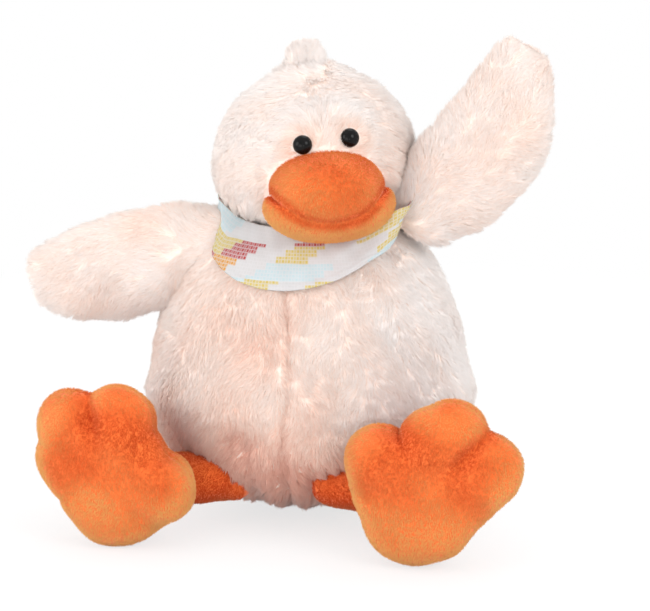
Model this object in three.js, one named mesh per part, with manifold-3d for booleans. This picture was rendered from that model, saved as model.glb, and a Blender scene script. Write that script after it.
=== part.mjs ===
// A sitting plush duck. Millimetres, +Z up, front towards -Y, origin under the seat.
import * as THREE from "three";
import { mergeVertices } from "three/addons/utils/BufferGeometryUtils.js";
import Module from "manifold-3d";

const wasm = await Module();
wasm.setup();

// Clearances and walls
const SEAM_GAP = 0.35; // between soft pieces that touch
const TURN_GAP = 1.3; // round a piece that turns against another
const COVER_WALL = 3; // backing and pressed pile of the cream covers
const SHORT_WALL = 2; // backing and pile of the orange covers
const SEAT_CUT = 0.5; // how deep a form is cut flat where it stands

// Torso: heights are counted from the floor
const TORSO_HALF_WIDTH = 95;
const TORSO_FRONT = 84;
const TORSO_BACK = 78;
const BELLY_HEIGHT = 72; // where the torso is widest
const TORSO_HEIGHT = 180;
const TORSO_TAPER = 0.27; // share of the width lost from belly to top
const PELLET_DEPTH = 42; // how high the pellet bag fills the torso

// Head: where the centre of its widest level stands, and how it is held
const HEAD_SIDEWAYS = 5;
const HEAD_FORWARD = 10;
const HEAD_RISE = 23; // above the torso's top
const HEAD_HALF_WIDTH = 58;
const HEAD_FRONT = 52;
const HEAD_BACK = 50;
const HEAD_UP = 52;
const HEAD_DOWN = 41;
const HEAD_YAW = 19.5; // degrees
const HEAD_ROLL = -7; // degrees
const HEAD_NOD_UP = 18; // degrees
const HEAD_NOD_DOWN = 2; // degrees

// Crest tuft
const CREST_HALF_WIDTH = 10.5;
const CREST_HALF_HEIGHT = 13;
const CREST_SINK = 3; // how far its middle stands above the head's top

// Eyes
const EYE_RADIUS = 5.6;
const EYE_RISE = 4.6;
const EYE_SPACING = 26;
const EYE_SIDEWAYS = 2.4; // how far both stand to the toy's left of the bill's middle
const EYE_HEIGHT = 16; // above the head's widest level
const SHANK_RADIUS = 1.6;
const SHANK_LENGTH = 11;
const WASHER_RADIUS = 7;
const WASHER_THICK = 1.6;

// Bill, from the head's widest level
const BILL_HALF_WIDTH = 31.5;
const BILL_HALF_HEIGHT = 20.5;
const BILL_DROP = 26; // how far it bulges down over the lip
const BILL_REACH = 31;
const BILL_CENTRE_FORWARD = 45;
const BILL_CENTRE_HEIGHT = -8.5;
const LIP_HALF_WIDTH = 36.5;
const LIP_HALF_HEIGHT = 21;
const LIP_REACH = 24;
const LIP_CENTRE_FORWARD = 46;
const LIP_CENTRE_HEIGHT = -19;
const LIP_CORNER_HEIGHT = -9; // top of the lip's corners
const LIP_BACK = 51; // how near the neck's axis the lip's underside comes

// Neck post
const NECK_RADIUS = 9;
const NECK_BALL_RADIUS = 13;
const NECK_BASE_RADIUS = 18;
const NECK_BASE_THICK = 7;
const NECK_LENGTH = 63; // from its base to the ball's centre

// Wings: a swing of 0 degrees is level
const WING_RIGHT_LENGTH = 107;
const WING_RIGHT_ROOT = 26; // half widths at the root and the tip, and the swell between them
const WING_RIGHT_TIP = 27;
const WING_RIGHT_SWELL = 5;
const WING_RIGHT_SAG = 3;
const WING_LEFT_LENGTH = 109;
const WING_LEFT_ROOT = 33;
const WING_LEFT_TIP = 25;
const WING_LEFT_SWELL = 3;
const WING_LEFT_SAG = 50; // four times how far its middle line hangs below its chord
const WING_HALF_THICK = 19;
const WING_ROOT_DEPTH = 16; // how far the form reaches in behind the shoulder
const SHOULDER_RIGHT_INSET = 40; // in from the torso's widest side
const SHOULDER_RIGHT_FORWARD = 20;
const SHOULDER_RIGHT_DROP = 29; // below the torso's top
const SHOULDER_LEFT_INSET = 29;
const SHOULDER_LEFT_FORWARD = 12;
const SHOULDER_LEFT_DROP = 3;
const WING_RIGHT_SWING = -13;
const WING_LEFT_SWING = 58;
const WING_LOWEST = -33;
const WING_HIGHEST = 61;

// Legs and feet
const HIP_FROM_MIDDLE = 33;
const HIP_FORWARD = 50;
const HIP_HEIGHT = 27;
const ANKLE_INWARD = 12; // from the foot's middle towards the other foot
const ANKLE_HEIGHT = 31;
const LEG_RADIUS = 13.5;
const LEG_SWELL = 1.2;
const LEG_LIFT = 26; // degrees up from the floor, until a foot meets the belly
const LEG_DROP = 25; // degrees down, when the toy is held up
const ANKLE_REACH = 7.5; // from the ankle's centre to the foot's back
const FOOT_HALF_THICK = 19;
const FOOT_RIGHT_LEAN = 7; // the middle toe's lean from upright towards +X, degrees
const FOOT_LEFT_LEAN = 20;
const FOOT_FROM_MIDDLE = 87;
const FOOT_FORWARD = 100;
const TOE_RADIUS = 19.5;
const TOE_REACH = 28;
const OUTER_TOE_RADIUS = 20;
const OUTER_TOE_REACH = 33;
const OUTER_TOE_RIGHT_ANGLE = 51;
const OUTER_TOE_LEFT_ANGLE = 45;
const INNER_TOE_RIGHT_ANGLE = -104;
const INNER_TOE_LEFT_ANGLE = -82;
const HEEL_RADIUS = 31;
const HEEL_REACH = 13;
const HEEL_ANGLE = -168;
const PALM_RADIUS = 33;

// Neckerchief
const CLOTH_THICK = 1.8;
const CLOTH_EASE = 0.6; // how far it stands off the plush
const CLOTH_FOLD = 1.4;
const CLOTH_FOLDS = 7;
const CLOTH_FRONT_LOW = 41; // its edges, below the torso's top
const CLOTH_FRONT_HIGH = 16;
const CLOTH_BACK_LOW = 17;
const CLOTH_BACK_HIGH = 4;
const CLOTH_SLANT = 4; // how much higher its lower edge is on the left
const KNOT_HALF_WIDTH = 11;
const KNOT_HALF_HEIGHT = 7;

const rad = THREE.MathUtils.degToRad;

// Solids

function solidOf(geometry) {
  const bare = geometry.clone();
  bare.deleteAttribute("normal");
  bare.deleteAttribute("uv");
  const merged = mergeVertices(bare, 1e-4);
  return new wasm.Manifold(
    new wasm.Mesh({
      numProp: 3,
      vertProperties: merged.attributes.position.array,
      triVerts: new Uint32Array(merged.index.array),
    }),
  );
}

function geometryOf(solid) {
  const mesh = solid.getMesh();
  const geometry = new THREE.BufferGeometry();
  geometry.setAttribute("position", new THREE.BufferAttribute(mesh.vertProperties, 3));
  geometry.setIndex(new THREE.BufferAttribute(mesh.triVerts, 1));
  const flat = geometry.toNonIndexed();
  flat.computeVertexNormals();
  return flat;
}

// A closed skin through rings of points that all run the same way round, with a point at each end.
function ringForm(first, rings, last) {
  const count = rings[0].length;
  const points = [first, ...rings.flat(), last];
  const index = [];
  const at = (ring, i) => 1 + ring * count + (i % count);
  for (let i = 0; i < count; i++) {
    index.push(0, at(0, i + 1), at(0, i));
    for (let ring = 0; ring + 1 < rings.length; ring++) {
      index.push(at(ring, i), at(ring, i + 1), at(ring + 1, i + 1));
      index.push(at(ring, i), at(ring + 1, i + 1), at(ring + 1, i));
    }
    index.push(points.length - 1, at(rings.length - 1, i), at(rings.length - 1, i + 1));
  }
  const geometry = new THREE.BufferGeometry();
  geometry.setAttribute("position", new THREE.Float32BufferAttribute(points.flat(), 3));
  geometry.setIndex(index);
  return outward(geometry);
}

// Turns the faces round where a form came out inside out.
function outward(geometry) {
  const at = geometry.attributes.position;
  const index = geometry.index.array;
  const corner = [new THREE.Vector3(), new THREE.Vector3(), new THREE.Vector3()];
  let volume = 0;
  for (let i = 0; i < index.length; i += 3) {
    corner.forEach((c, k) => c.fromBufferAttribute(at, index[i + k]));
    volume += corner[0].dot(corner[1].cross(corner[2]));
  }
  if (volume < 0) {
    for (let i = 0; i < index.length; i += 3) {
      [index[i + 1], index[i + 2]] = [index[i + 2], index[i + 1]];
    }
  }
  return geometry;
}

// A lathed solid about Z. The profile's points are [radius, height], from the axis to the axis.
function lathed(profile, segments, centre = [0, 0, 0]) {
  const low = profile[0][1];
  const high = profile[profile.length - 1][1];
  const rings = profile.slice(1, -1).map(([radius, height]) =>
    ringPoints(segments, (angle) => [
      centre[0] + radius * Math.cos(angle),
      centre[1] + radius * Math.sin(angle),
      centre[2] + height,
    ]),
  );
  const pole = (height) => [centre[0], centre[1], centre[2] + height];
  return solidOf(ringForm(pole(low), rings, pole(high)));
}

function ringPoints(segments, place) {
  return Array.from({ length: segments }, (_, i) => place((2 * Math.PI * i) / segments));
}

function moved(solid, matrix) {
  return solid.transform(matrix.elements);
}

function turnAbout(point, axis, degrees) {
  const to = new THREE.Matrix4().makeTranslation(...point);
  const back = new THREE.Matrix4().makeTranslation(...point.map((value) => -value));
  const turn = new THREE.Matrix4().makeRotationAxis(new THREE.Vector3(...axis).normalize(), rad(degrees));
  return to.multiply(turn).multiply(back);
}

// Cuts away what another piece reaches as it turns about a pivot.
function clearOf(solid, obstacle, pivot, axis, from, to, step) {
  const count = Math.ceil((to - from) / step);
  let left = solid;
  for (let i = 0; i <= count; i++) {
    const angle = from + ((to - from) * i) / count;
    left = left.subtract(moved(obstacle, turnAbout(pivot, axis, -angle)));
  }
  return left;
}

// The largest connected lump, so that no cut leaves crumbs.
function largest(solid) {
  return solid.decompose().reduce((best, one) => (one.volume() > best.volume() ? one : best));
}

// A swelling form with its widest level at height 0.
function swelling(form, segments, rings) {
  const wide = form.halfWidth - form.inset;
  const front = form.front - form.inset;
  const back = form.back - form.inset;
  const profile = (sign) => {
    const reach = (sign > 0 ? form.up : form.down) - form.inset;
    const root = sign > 0 ? form.upRoot : form.downRoot;
    const power = sign > 0 ? form.upPower : form.downPower;
    const fine = Array.from({ length: 121 }, (_, i) => {
      const share = Math.sin((Math.PI / 2) * (i / 120) ** 0.7);
      const rise = Math.pow(Math.max(0, 1 - Math.pow(share, root)), 1 / power);
      return [share * (sign > 0 ? 1 - form.taper * rise : 1), sign * reach * rise];
    });
    return evenly(fine, rings, wide);
  };
  const level = ([share, height]) =>
    ringPoints(segments, (angle) => {
      const y = Math.sin(angle);
      return [wide * share * Math.cos(angle), (y < 0 ? front : back) * share * y, height];
    });
  const rows = [...profile(-1).map(level), ...profile(1).reverse().slice(1).map(level)];
  return ringForm([0, 0, form.inset - form.down], rows, [0, 0, form.up - form.inset]);
}

// Picks a count of points along a profile of [share, height], evenly spaced, without its first.
function evenly(fine, count, wide) {
  const runs = [0];
  for (let i = 1; i < fine.length; i++) {
    const step = Math.hypot((fine[i][0] - fine[i - 1][0]) * wide, fine[i][1] - fine[i - 1][1]);
    runs.push(runs[i - 1] + step);
  }
  return Array.from({ length: count }, (_, k) => {
    const want = (runs[runs.length - 1] * (k + 1)) / count;
    const i = Math.max(1, runs.findIndex((run) => run >= want - 1e-9));
    const part = (want - runs[i - 1]) / (runs[i] - runs[i - 1]);
    return fine[i].map((value, axis) => fine[i - 1][axis] + part * (value - fine[i - 1][axis]));
  });
}

// An ellipsoid, whose lower half may reach further down than the upper one does up.
function ellipsoid(half, centre, segments, rings, drop = half[2]) {
  const high = (sign) => (sign < 0 ? drop : half[2]);
  const rows = [];
  for (let i = 1; i < rings; i++) {
    const angle = -Math.PI / 2 + (Math.PI * i) / rings;
    rows.push(
      ringPoints(segments, (turn) => [
        centre[0] + half[0] * Math.cos(angle) * Math.cos(turn),
        centre[1] + half[1] * Math.cos(angle) * Math.sin(turn),
        centre[2] + high(angle) * Math.sin(angle),
      ]),
    );
  }
  const pole = (sign) => [centre[0], centre[1], centre[2] + sign * high(sign)];
  return solidOf(ringForm(pole(-1), rows, pole(1)));
}

function block(low, high) {
  const size = low.map((value, i) => high[i] - value);
  const box = new THREE.BoxGeometry(...size).toNonIndexed();
  return solidOf(box.translate(...low.map((value, i) => value + size[i] / 2)));
}

// Torso

const TORSO_FORM = {
  halfWidth: TORSO_HALF_WIDTH,
  front: TORSO_FRONT,
  back: TORSO_BACK,
  up: TORSO_HEIGHT - BELLY_HEIGHT,
  down: BELLY_HEIGHT + SEAT_CUT,
  upRoot: 2,
  upPower: 5,
  downRoot: 2,
  downPower: 2.1,
  taper: TORSO_TAPER,
  inset: 0,
};

function torsoForm(inset, segments, rings) {
  return solidOf(swelling({ ...TORSO_FORM, inset }, segments, rings).translate(0, 0, BELLY_HEIGHT));
}

// How far the torso reaches from its own axis at a height and a direction.
function torsoReach(height, angle) {
  const form = TORSO_FORM;
  const rise = Math.min(1, Math.max(0, (height - BELLY_HEIGHT) / form.up));
  const share = Math.pow(1 - Math.pow(rise, form.upPower), 1 / form.upRoot) * (1 - form.taper * rise);
  const x = Math.cos(angle) / form.halfWidth;
  const y = Math.sin(angle) / (Math.sin(angle) < 0 ? form.front : form.back);
  return share / Math.hypot(x, y);
}

// Head

const HEAD_FORM = {
  halfWidth: HEAD_HALF_WIDTH,
  front: HEAD_FRONT,
  back: HEAD_BACK,
  up: HEAD_UP,
  down: HEAD_DOWN,
  upRoot: 2,
  upPower: 2.05,
  downRoot: 2.1,
  downPower: 2.2,
  taper: 0.04,
  inset: 0,
};

const HEAD_CENTRE = [HEAD_SIDEWAYS, -HEAD_FORWARD, TORSO_HEIGHT + HEAD_RISE];
const headPose = new THREE.Matrix4()
  .makeTranslation(...HEAD_CENTRE)
  .multiply(new THREE.Matrix4().makeRotationZ(rad(HEAD_YAW)))
  .multiply(new THREE.Matrix4().makeRotationY(rad(HEAD_ROLL)));
const nodAxis = [Math.cos(rad(HEAD_YAW)), Math.sin(rad(HEAD_YAW)), 0];

function headForm(inset, segments, rings) {
  return solidOf(swelling({ ...HEAD_FORM, inset }, segments, rings));
}

// The bowl that the head's lower half needs as it turns and nods: [radius, height from its centre].
function headBowl(gap) {
  const shape = swelling(HEAD_FORM, 32, 8);
  shape.applyMatrix4(headPose);
  const at = shape.attributes.position;
  const spots = [];
  for (let nod = -HEAD_NOD_UP; nod <= HEAD_NOD_DOWN + 0.1; nod += (HEAD_NOD_UP + HEAD_NOD_DOWN) / 6) {
    const turn = turnAbout(HEAD_CENTRE, nodAxis, nod);
    for (let i = 0; i < at.count; i++) {
      const spot = new THREE.Vector3().fromBufferAttribute(at, i).applyMatrix4(turn);
      const across = Math.hypot(spot.x - HEAD_CENTRE[0], spot.y - HEAD_CENTRE[1]);
      spots.push([across, spot.z - HEAD_CENTRE[2]]);
    }
  }
  const low = Math.min(...spots.map((spot) => spot[1]));
  const levels = 9;
  const profile = [[0, low - gap]];
  for (let i = 0; i < levels; i++) {
    const height = low * (1 - (i / levels) ** 1.6);
    const next = low * (1 - ((i + 1) / levels) ** 1.6);
    const reach = Math.max(...spots.filter((spot) => spot[1] <= next + 0.01).map((spot) => spot[0]));
    profile.push([reach + gap, height - gap * (1 - i / levels)]);
  }
  const widest = Math.max(...spots.map((spot) => spot[0])) + gap;
  profile.push([widest, 0], [widest, HEAD_UP], [0, HEAD_UP]);
  return profile;
}

const bowl = headBowl(TURN_GAP);

function bowlReach(height) {
  const z = height - HEAD_CENTRE[2];
  if (z < bowl[0][1]) return 0;
  for (let i = 1; i < bowl.length; i++) {
    if (z <= bowl[i][1]) {
      const share = (z - bowl[i - 1][1]) / (bowl[i][1] - bowl[i - 1][1] || 1);
      return bowl[i - 1][0] + share * (bowl[i][0] - bowl[i - 1][0]);
    }
  }
  return bowl[bowl.length - 2][0];
}

// Neckerchief: a folded cloth round the neck, lower in front

function clothEdge(angle, front, back) {
  return TORSO_HEIGHT - back - (front - back) * Math.pow((1 - Math.sin(angle)) / 2, 1.5);
}

function clothInner(height, angle) {
  const along = HEAD_CENTRE[0] * Math.cos(angle) + HEAD_CENTRE[1] * Math.sin(angle);
  const off = Math.hypot(HEAD_CENTRE[0], HEAD_CENTRE[1]);
  const reach = bowlReach(height);
  const past = along + Math.sqrt(Math.max(0, reach * reach - off * off + along * along));
  return Math.max(torsoReach(height, angle), past) + CLOTH_EASE;
}

// A point of the cloth, which spans the waist under the head: down runs from its top edge to its
// bottom one, out is from its inner face.
function clothPoint(angle, down, out, grow) {
  const high = clothEdge(angle, CLOTH_FRONT_HIGH, CLOTH_BACK_HIGH);
  const low = clothEdge(angle, CLOTH_FRONT_LOW, CLOTH_BACK_LOW) + CLOTH_SLANT * Math.cos(angle);
  const height = high + (low - high) * down;
  const wave = CLOTH_FOLD * (0.5 + 0.5 * Math.sin(CLOTH_FOLDS * angle + 2 * down)) * (0.3 + 0.7 * down);
  const top = clothInner(high, angle);
  const span = top + (clothInner(low, angle) - top) * down;
  const reach = Math.max(clothInner(height, angle), span) + wave + out + grow;
  return [reach * Math.cos(angle), reach * Math.sin(angle), height + grow * (1 - 2 * down)];
}

// The cloth as a ring, or as the space that it and all inside it take up.
function clothRing(grow, filled) {
  const segments = 48;
  const rows = 4;
  const points = [];
  const around = 2 * (rows + 1);
  for (let i = 0; i < segments; i++) {
    const angle = (2 * Math.PI * i) / segments;
    for (let k = 0; k <= rows; k++) points.push(clothPoint(angle, k / rows, CLOTH_THICK, grow));
    for (let k = rows; k >= 0; k--) {
      const point = clothPoint(angle, k / rows, 0, grow);
      points.push(filled ? [4 * Math.cos(angle), 4 * Math.sin(angle), point[2]] : point);
    }
  }
  const index = [];
  const at = (i, k) => (i % segments) * around + (k % around);
  for (let i = 0; i < segments; i++) {
    for (let k = 0; k < around; k++) {
      const [near, far] = k > rows ? [at(i + 1, k), at(i, k + 1)] : [at(i, k), at(i + 1, k + 1)];
      index.push(at(i, k), at(i, k + 1), k > rows ? near : far);
      index.push(k > rows ? far : near, at(i + 1, k + 1), at(i + 1, k));
    }
  }
  const geometry = new THREE.BufferGeometry();
  geometry.setAttribute("position", new THREE.Float32BufferAttribute(points.flat(), 3));
  geometry.setIndex(index);
  return solidOf(outward(geometry));
}

function knotForm() {
  const height = TORSO_HEIGHT - (CLOTH_BACK_HIGH + CLOTH_BACK_LOW) / 2;
  const back = clothInner(height, Math.PI / 2) + CLOTH_THICK + CLOTH_FOLD;
  const half = [KNOT_HALF_WIDTH, KNOT_HALF_HEIGHT, KNOT_HALF_HEIGHT];
  return ellipsoid(half, [0, back + KNOT_HALF_HEIGHT / 2, height], 16, 8);
}

// Wings

function wingForm(wing, inset, segments, rings) {
  const { side, shoulder, swing } = wing;
  const length = wing.length - inset;
  const start = inset - WING_ROOT_DEPTH;
  const flip = side > 0 ? 1 : -1;
  const turn = rad(swing);
  const place = (along, up, deep) => [
    shoulder[0] + flip * (along * Math.cos(turn) - up * Math.sin(turn)),
    shoulder[1] + deep,
    shoulder[2] + along * Math.sin(turn) + up * Math.cos(turn),
  ];
  const curl = (along) => {
    const part = Math.min(1, Math.max(0, along) / wing.length);
    return -wing.sag * part * (1 - part);
  };
  const rows = [];
  for (let i = 1; i < rings; i++) {
    const angle = (Math.PI * i) / rings;
    const share = (1 - Math.cos(angle)) / 2;
    const along = start + (length - start) * share;
    const full = wing.root * (1 - share) + wing.tip * share + wing.swell * Math.sin(Math.PI * share);
    const close = Math.pow(Math.sin(angle), share < 0.5 ? 0.35 : 0.52);
    const wide = (full - inset) * close;
    const thick = (WING_HALF_THICK - inset) * close;
    rows.push(
      ringPoints(segments, (around) => place(along, curl(along) + wide * Math.cos(around), thick * Math.sin(around))),
    );
  }
  return solidOf(ringForm(place(start, 0, 0), rows, place(length, curl(length), 0)));
}

// Legs and feet

function legFrame(hip, ankle) {
  const along = new THREE.Vector3(...ankle).sub(new THREE.Vector3(...hip));
  const matrix = new THREE.Matrix4().makeRotationFromQuaternion(
    new THREE.Quaternion().setFromUnitVectors(new THREE.Vector3(0, 0, 1), along.clone().normalize()),
  );
  matrix.setPosition(...hip);
  return { matrix, length: along.length() };
}

function legRadius(share, inset) {
  return LEG_RADIUS + LEG_SWELL * Math.sin(Math.PI * Math.min(1, Math.max(0, share))) - inset;
}

// The ball about the ankle that a leg ends in, as part of a profile.
function ballEnd(inset, length, steps) {
  const radius = LEG_RADIUS - inset;
  const profile = [];
  for (let i = 0; i < steps; i++) {
    const angle = (Math.PI / 2) * (i / steps);
    profile.push([radius * Math.cos(angle), length + radius * Math.sin(angle)]);
  }
  return [...profile, [0, length + radius]];
}

// A leg's cover as a solid, from inside the torso to its ball end.
function legSkin(hip, ankle, inset) {
  const { matrix, length } = legFrame(hip, ankle);
  const from = -LEG_RADIUS - inset;
  const profile = [[0, from], [legRadius(0, inset), from]];
  for (let i = 1; i < 4; i++) profile.push([legRadius(i / 4, inset), (length * i) / 4]);
  return moved(lathed([...profile, ...ballEnd(inset, length, 5)], 20), matrix);
}

// A leg's stuffing is round at both ends. The foot's dish turns on its ball.
function legCore(hip, ankle, inset) {
  const { matrix, length } = legFrame(hip, ankle);
  const radius = LEG_RADIUS - inset;
  const profile = [[0, 0]];
  for (let i = 1; i <= 4; i++) {
    const angle = (Math.PI / 2) * (i / 4);
    profile.push([radius * Math.sin(angle), radius * (1 - Math.cos(angle))]);
  }
  for (let i = 1; i < 4; i++) profile.push([legRadius(i / 4, inset), (length * i) / 4]);
  return moved(lathed([...profile, ...ballEnd(inset, length, 5)], 16), matrix);
}

// The foot's outline: how far it reaches from its middle in a direction, over three toes and a heel.
function footReach(foot, angle, inset) {
  const lobes = [
    [0, TOE_REACH, TOE_RADIUS],
    [foot.outerToe, OUTER_TOE_REACH, OUTER_TOE_RADIUS],
    [foot.innerToe, TOE_REACH, TOE_RADIUS],
    [HEEL_ANGLE, HEEL_REACH, HEEL_RADIUS],
    [0, 0, PALM_RADIUS],
  ];
  const sharp = 14;
  const sum = lobes.reduce((total, [turn, reach, radius]) => {
    const off = angle - rad(turn);
    const inside = radius ** 2 - (reach * Math.sin(off)) ** 2;
    const far = inside > 0 ? reach * Math.cos(off) + Math.sqrt(inside) : 0;
    return far > 0 ? total + Math.pow(far / HEEL_RADIUS, sharp) : total;
  }, 0);
  return HEEL_RADIUS * Math.pow(sum, 1 / sharp) - inset;
}

// The direction of a point of the outline in the plane of the sole, from +X towards +Z.
function footDirection(foot, angle) {
  return rad(90 - foot.lean) - foot.side * angle;
}

// The foot's middle stands as high as puts its lowest point a seat cut below the floor.
function footMiddle(foot) {
  const drops = ringPoints(180, (angle) => -footReach(foot, angle, 0) * Math.sin(footDirection(foot, angle)));
  return [foot.side * FOOT_FROM_MIDDLE, -FOOT_FORWARD, Math.max(...drops) - SEAT_CUT];
}

function footForm(foot, inset, segments, rings) {
  const middle = footMiddle(foot);
  const thick = FOOT_HALF_THICK - inset;
  const place = (angle, reach, deep) => [
    middle[0] + reach * Math.cos(footDirection(foot, angle)),
    middle[1] + deep,
    middle[2] + reach * Math.sin(footDirection(foot, angle)),
  ];
  const rows = [];
  for (let i = 1; i < rings; i++) {
    const level = -Math.PI / 2 + (Math.PI * i) / rings;
    const share = Math.pow(Math.cos(level), 0.62);
    const deep = thick * Math.sign(level) * Math.pow(Math.abs(Math.sin(level)), 0.9);
    rows.push(ringPoints(segments, (angle) => place(angle, footReach(foot, angle, inset) * share, deep)));
  }
  return solidOf(ringForm([middle[0], middle[1] - thick, middle[2]], rows, [middle[0], middle[1] + thick, middle[2]]));
}

// Assembly

const group = new THREE.Group();

function add(name, solid, colour, roughness = 0.9) {
  const material = new THREE.MeshStandardMaterial({ color: colour, roughness, metalness: 0 });
  const mesh = new THREE.Mesh(geometryOf(solid), material);
  mesh.name = name;
  group.add(mesh);
}

const CREAM = 0xf6e6d8;
const ORANGE = 0xee7a35;
const FILLING = 0xf4f4f0;
const BEYOND = 400; // past every piece
const floorCut = block([-BEYOND, -BEYOND, -BEYOND], [BEYOND, BEYOND, 0]);

function buildTorso() {
  const bowlSolid = lathed(bowl, 32, HEAD_CENTRE);
  const outer = torsoForm(0, 36, 8).subtract(floorCut);
  const inner = torsoForm(COVER_WALL, 24, 5);
  const filling = torsoForm(COVER_WALL + SEAM_GAP, 24, 5).subtract(bowlSolid);
  add("torso_cover", outer.subtract(inner).subtract(bowlSolid), CREAM);
  const level = [-BEYOND, -BEYOND, PELLET_DEPTH];
  const pellets = filling.subtract(block(level, [BEYOND, BEYOND, BEYOND]));
  const above = filling.subtract(block([-BEYOND, -BEYOND, -BEYOND], [BEYOND, BEYOND, PELLET_DEPTH + SEAM_GAP]));
  const base = -NECK_LENGTH;
  const recess = [
    [0, base - SEAM_GAP],
    [NECK_BASE_RADIUS + SEAM_GAP, base - SEAM_GAP],
    [NECK_BASE_RADIUS + SEAM_GAP, base + NECK_BASE_THICK + SEAM_GAP],
    [NECK_RADIUS + TURN_GAP, base + NECK_BASE_THICK + SEAM_GAP],
    [NECK_RADIUS + TURN_GAP, 0],
    [0, 0],
  ];
  add("torso_stuffing", above.subtract(lathed(recess, 24, HEAD_CENTRE)), FILLING);
  add("seat_pellet_bag", pellets, 0xd8d4c8);
}

function buildNeck() {
  const base = -NECK_LENGTH;
  const neckTop = -Math.sqrt(NECK_BALL_RADIUS ** 2 - NECK_RADIUS ** 2);
  const start = Math.asin(NECK_RADIUS / NECK_BALL_RADIUS);
  const profile = [
    [0, base],
    [NECK_BASE_RADIUS, base],
    [NECK_BASE_RADIUS, base + NECK_BASE_THICK],
    [NECK_RADIUS, base + NECK_BASE_THICK],
    [NECK_RADIUS, neckTop],
  ];
  for (let i = 1; i < 8; i++) {
    const angle = start + ((Math.PI - start) * i) / 8;
    profile.push([NECK_BALL_RADIUS * Math.sin(angle), -NECK_BALL_RADIUS * Math.cos(angle)]);
  }
  profile.push([0, NECK_BALL_RADIUS]);
  add("neck_stuffing", lathed(profile, 24, HEAD_CENTRE), FILLING);
}

// The hollow in the head that the neck post swings in.
function neckHollow() {
  const nod = rad(Math.max(HEAD_NOD_UP, HEAD_NOD_DOWN) + Math.abs(HEAD_ROLL));
  const mouth = NECK_RADIUS + TURN_GAP + (HEAD_DOWN + COVER_WALL) * Math.tan(nod) * 1.1;
  const ball = NECK_BALL_RADIUS + SEAM_GAP;
  const waist = Math.asin((NECK_RADIUS + TURN_GAP) / ball) + nod;
  const profile = [
    [0, -HEAD_DOWN - COVER_WALL],
    [mouth, -HEAD_DOWN - COVER_WALL],
  ];
  for (let i = 0; i < 8; i++) {
    const angle = waist + ((Math.PI - waist) * i) / 8;
    profile.push([ball * Math.sin(angle), -ball * Math.cos(angle)]);
  }
  profile.push([0, ball]);
  return lathed(profile, 16);
}

// A frame whose Z points out of the face at an eye.
function eyeFrame(side) {
  const x = (side * EYE_SPACING) / 2 + EYE_SIDEWAYS;
  const share = Math.pow(1 - Math.pow(EYE_HEIGHT / HEAD_UP, HEAD_FORM.upPower), 1 / HEAD_FORM.upRoot);
  const wide = HEAD_HALF_WIDTH * share;
  const deep = HEAD_FRONT * share * (1 - (HEAD_FORM.taper * EYE_HEIGHT) / HEAD_UP);
  const y = -deep * Math.sqrt(1 - (x / wide) ** 2);
  const normal = new THREE.Vector3(
    x / HEAD_HALF_WIDTH ** 2,
    y / HEAD_FRONT ** 2,
    EYE_HEIGHT / HEAD_UP ** 2,
  ).normalize();
  const frame = new THREE.Matrix4().makeRotationFromQuaternion(
    new THREE.Quaternion().setFromUnitVectors(new THREE.Vector3(0, 0, 1), normal),
  );
  return frame.setPosition(x, y, EYE_HEIGHT);
}

function eyeShape(gap) {
  const sink = 1.2;
  const profile = [
    [0, -SHANK_LENGTH - gap],
    [SHANK_RADIUS + gap, -SHANK_LENGTH - gap],
    [SHANK_RADIUS + gap, -sink - gap],
    [EYE_RADIUS + gap, -sink - gap],
  ];
  for (let i = 0; i < 6; i++) {
    const angle = (Math.PI / 2) * (i / 6);
    profile.push([(EYE_RADIUS + gap) * Math.cos(angle), (EYE_RISE + gap) * Math.sin(angle)]);
  }
  profile.push([0, EYE_RISE + gap]);
  return lathed(profile, 18);
}

function washerShape(gap) {
  const depth = -COVER_WALL - 2;
  const outer = WASHER_RADIUS + gap;
  const hole = SHANK_RADIUS + SEAM_GAP;
  const disc = lathed([[0, depth - WASHER_THICK - gap], [outer, depth - WASHER_THICK - gap], [outer, depth + gap], [0, depth + gap]], 16);
  if (gap > 0) return disc;
  return disc.subtract(lathed([[0, depth - 9], [hole, depth - 9], [hole, depth + 9], [0, depth + 9]], 10));
}

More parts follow.
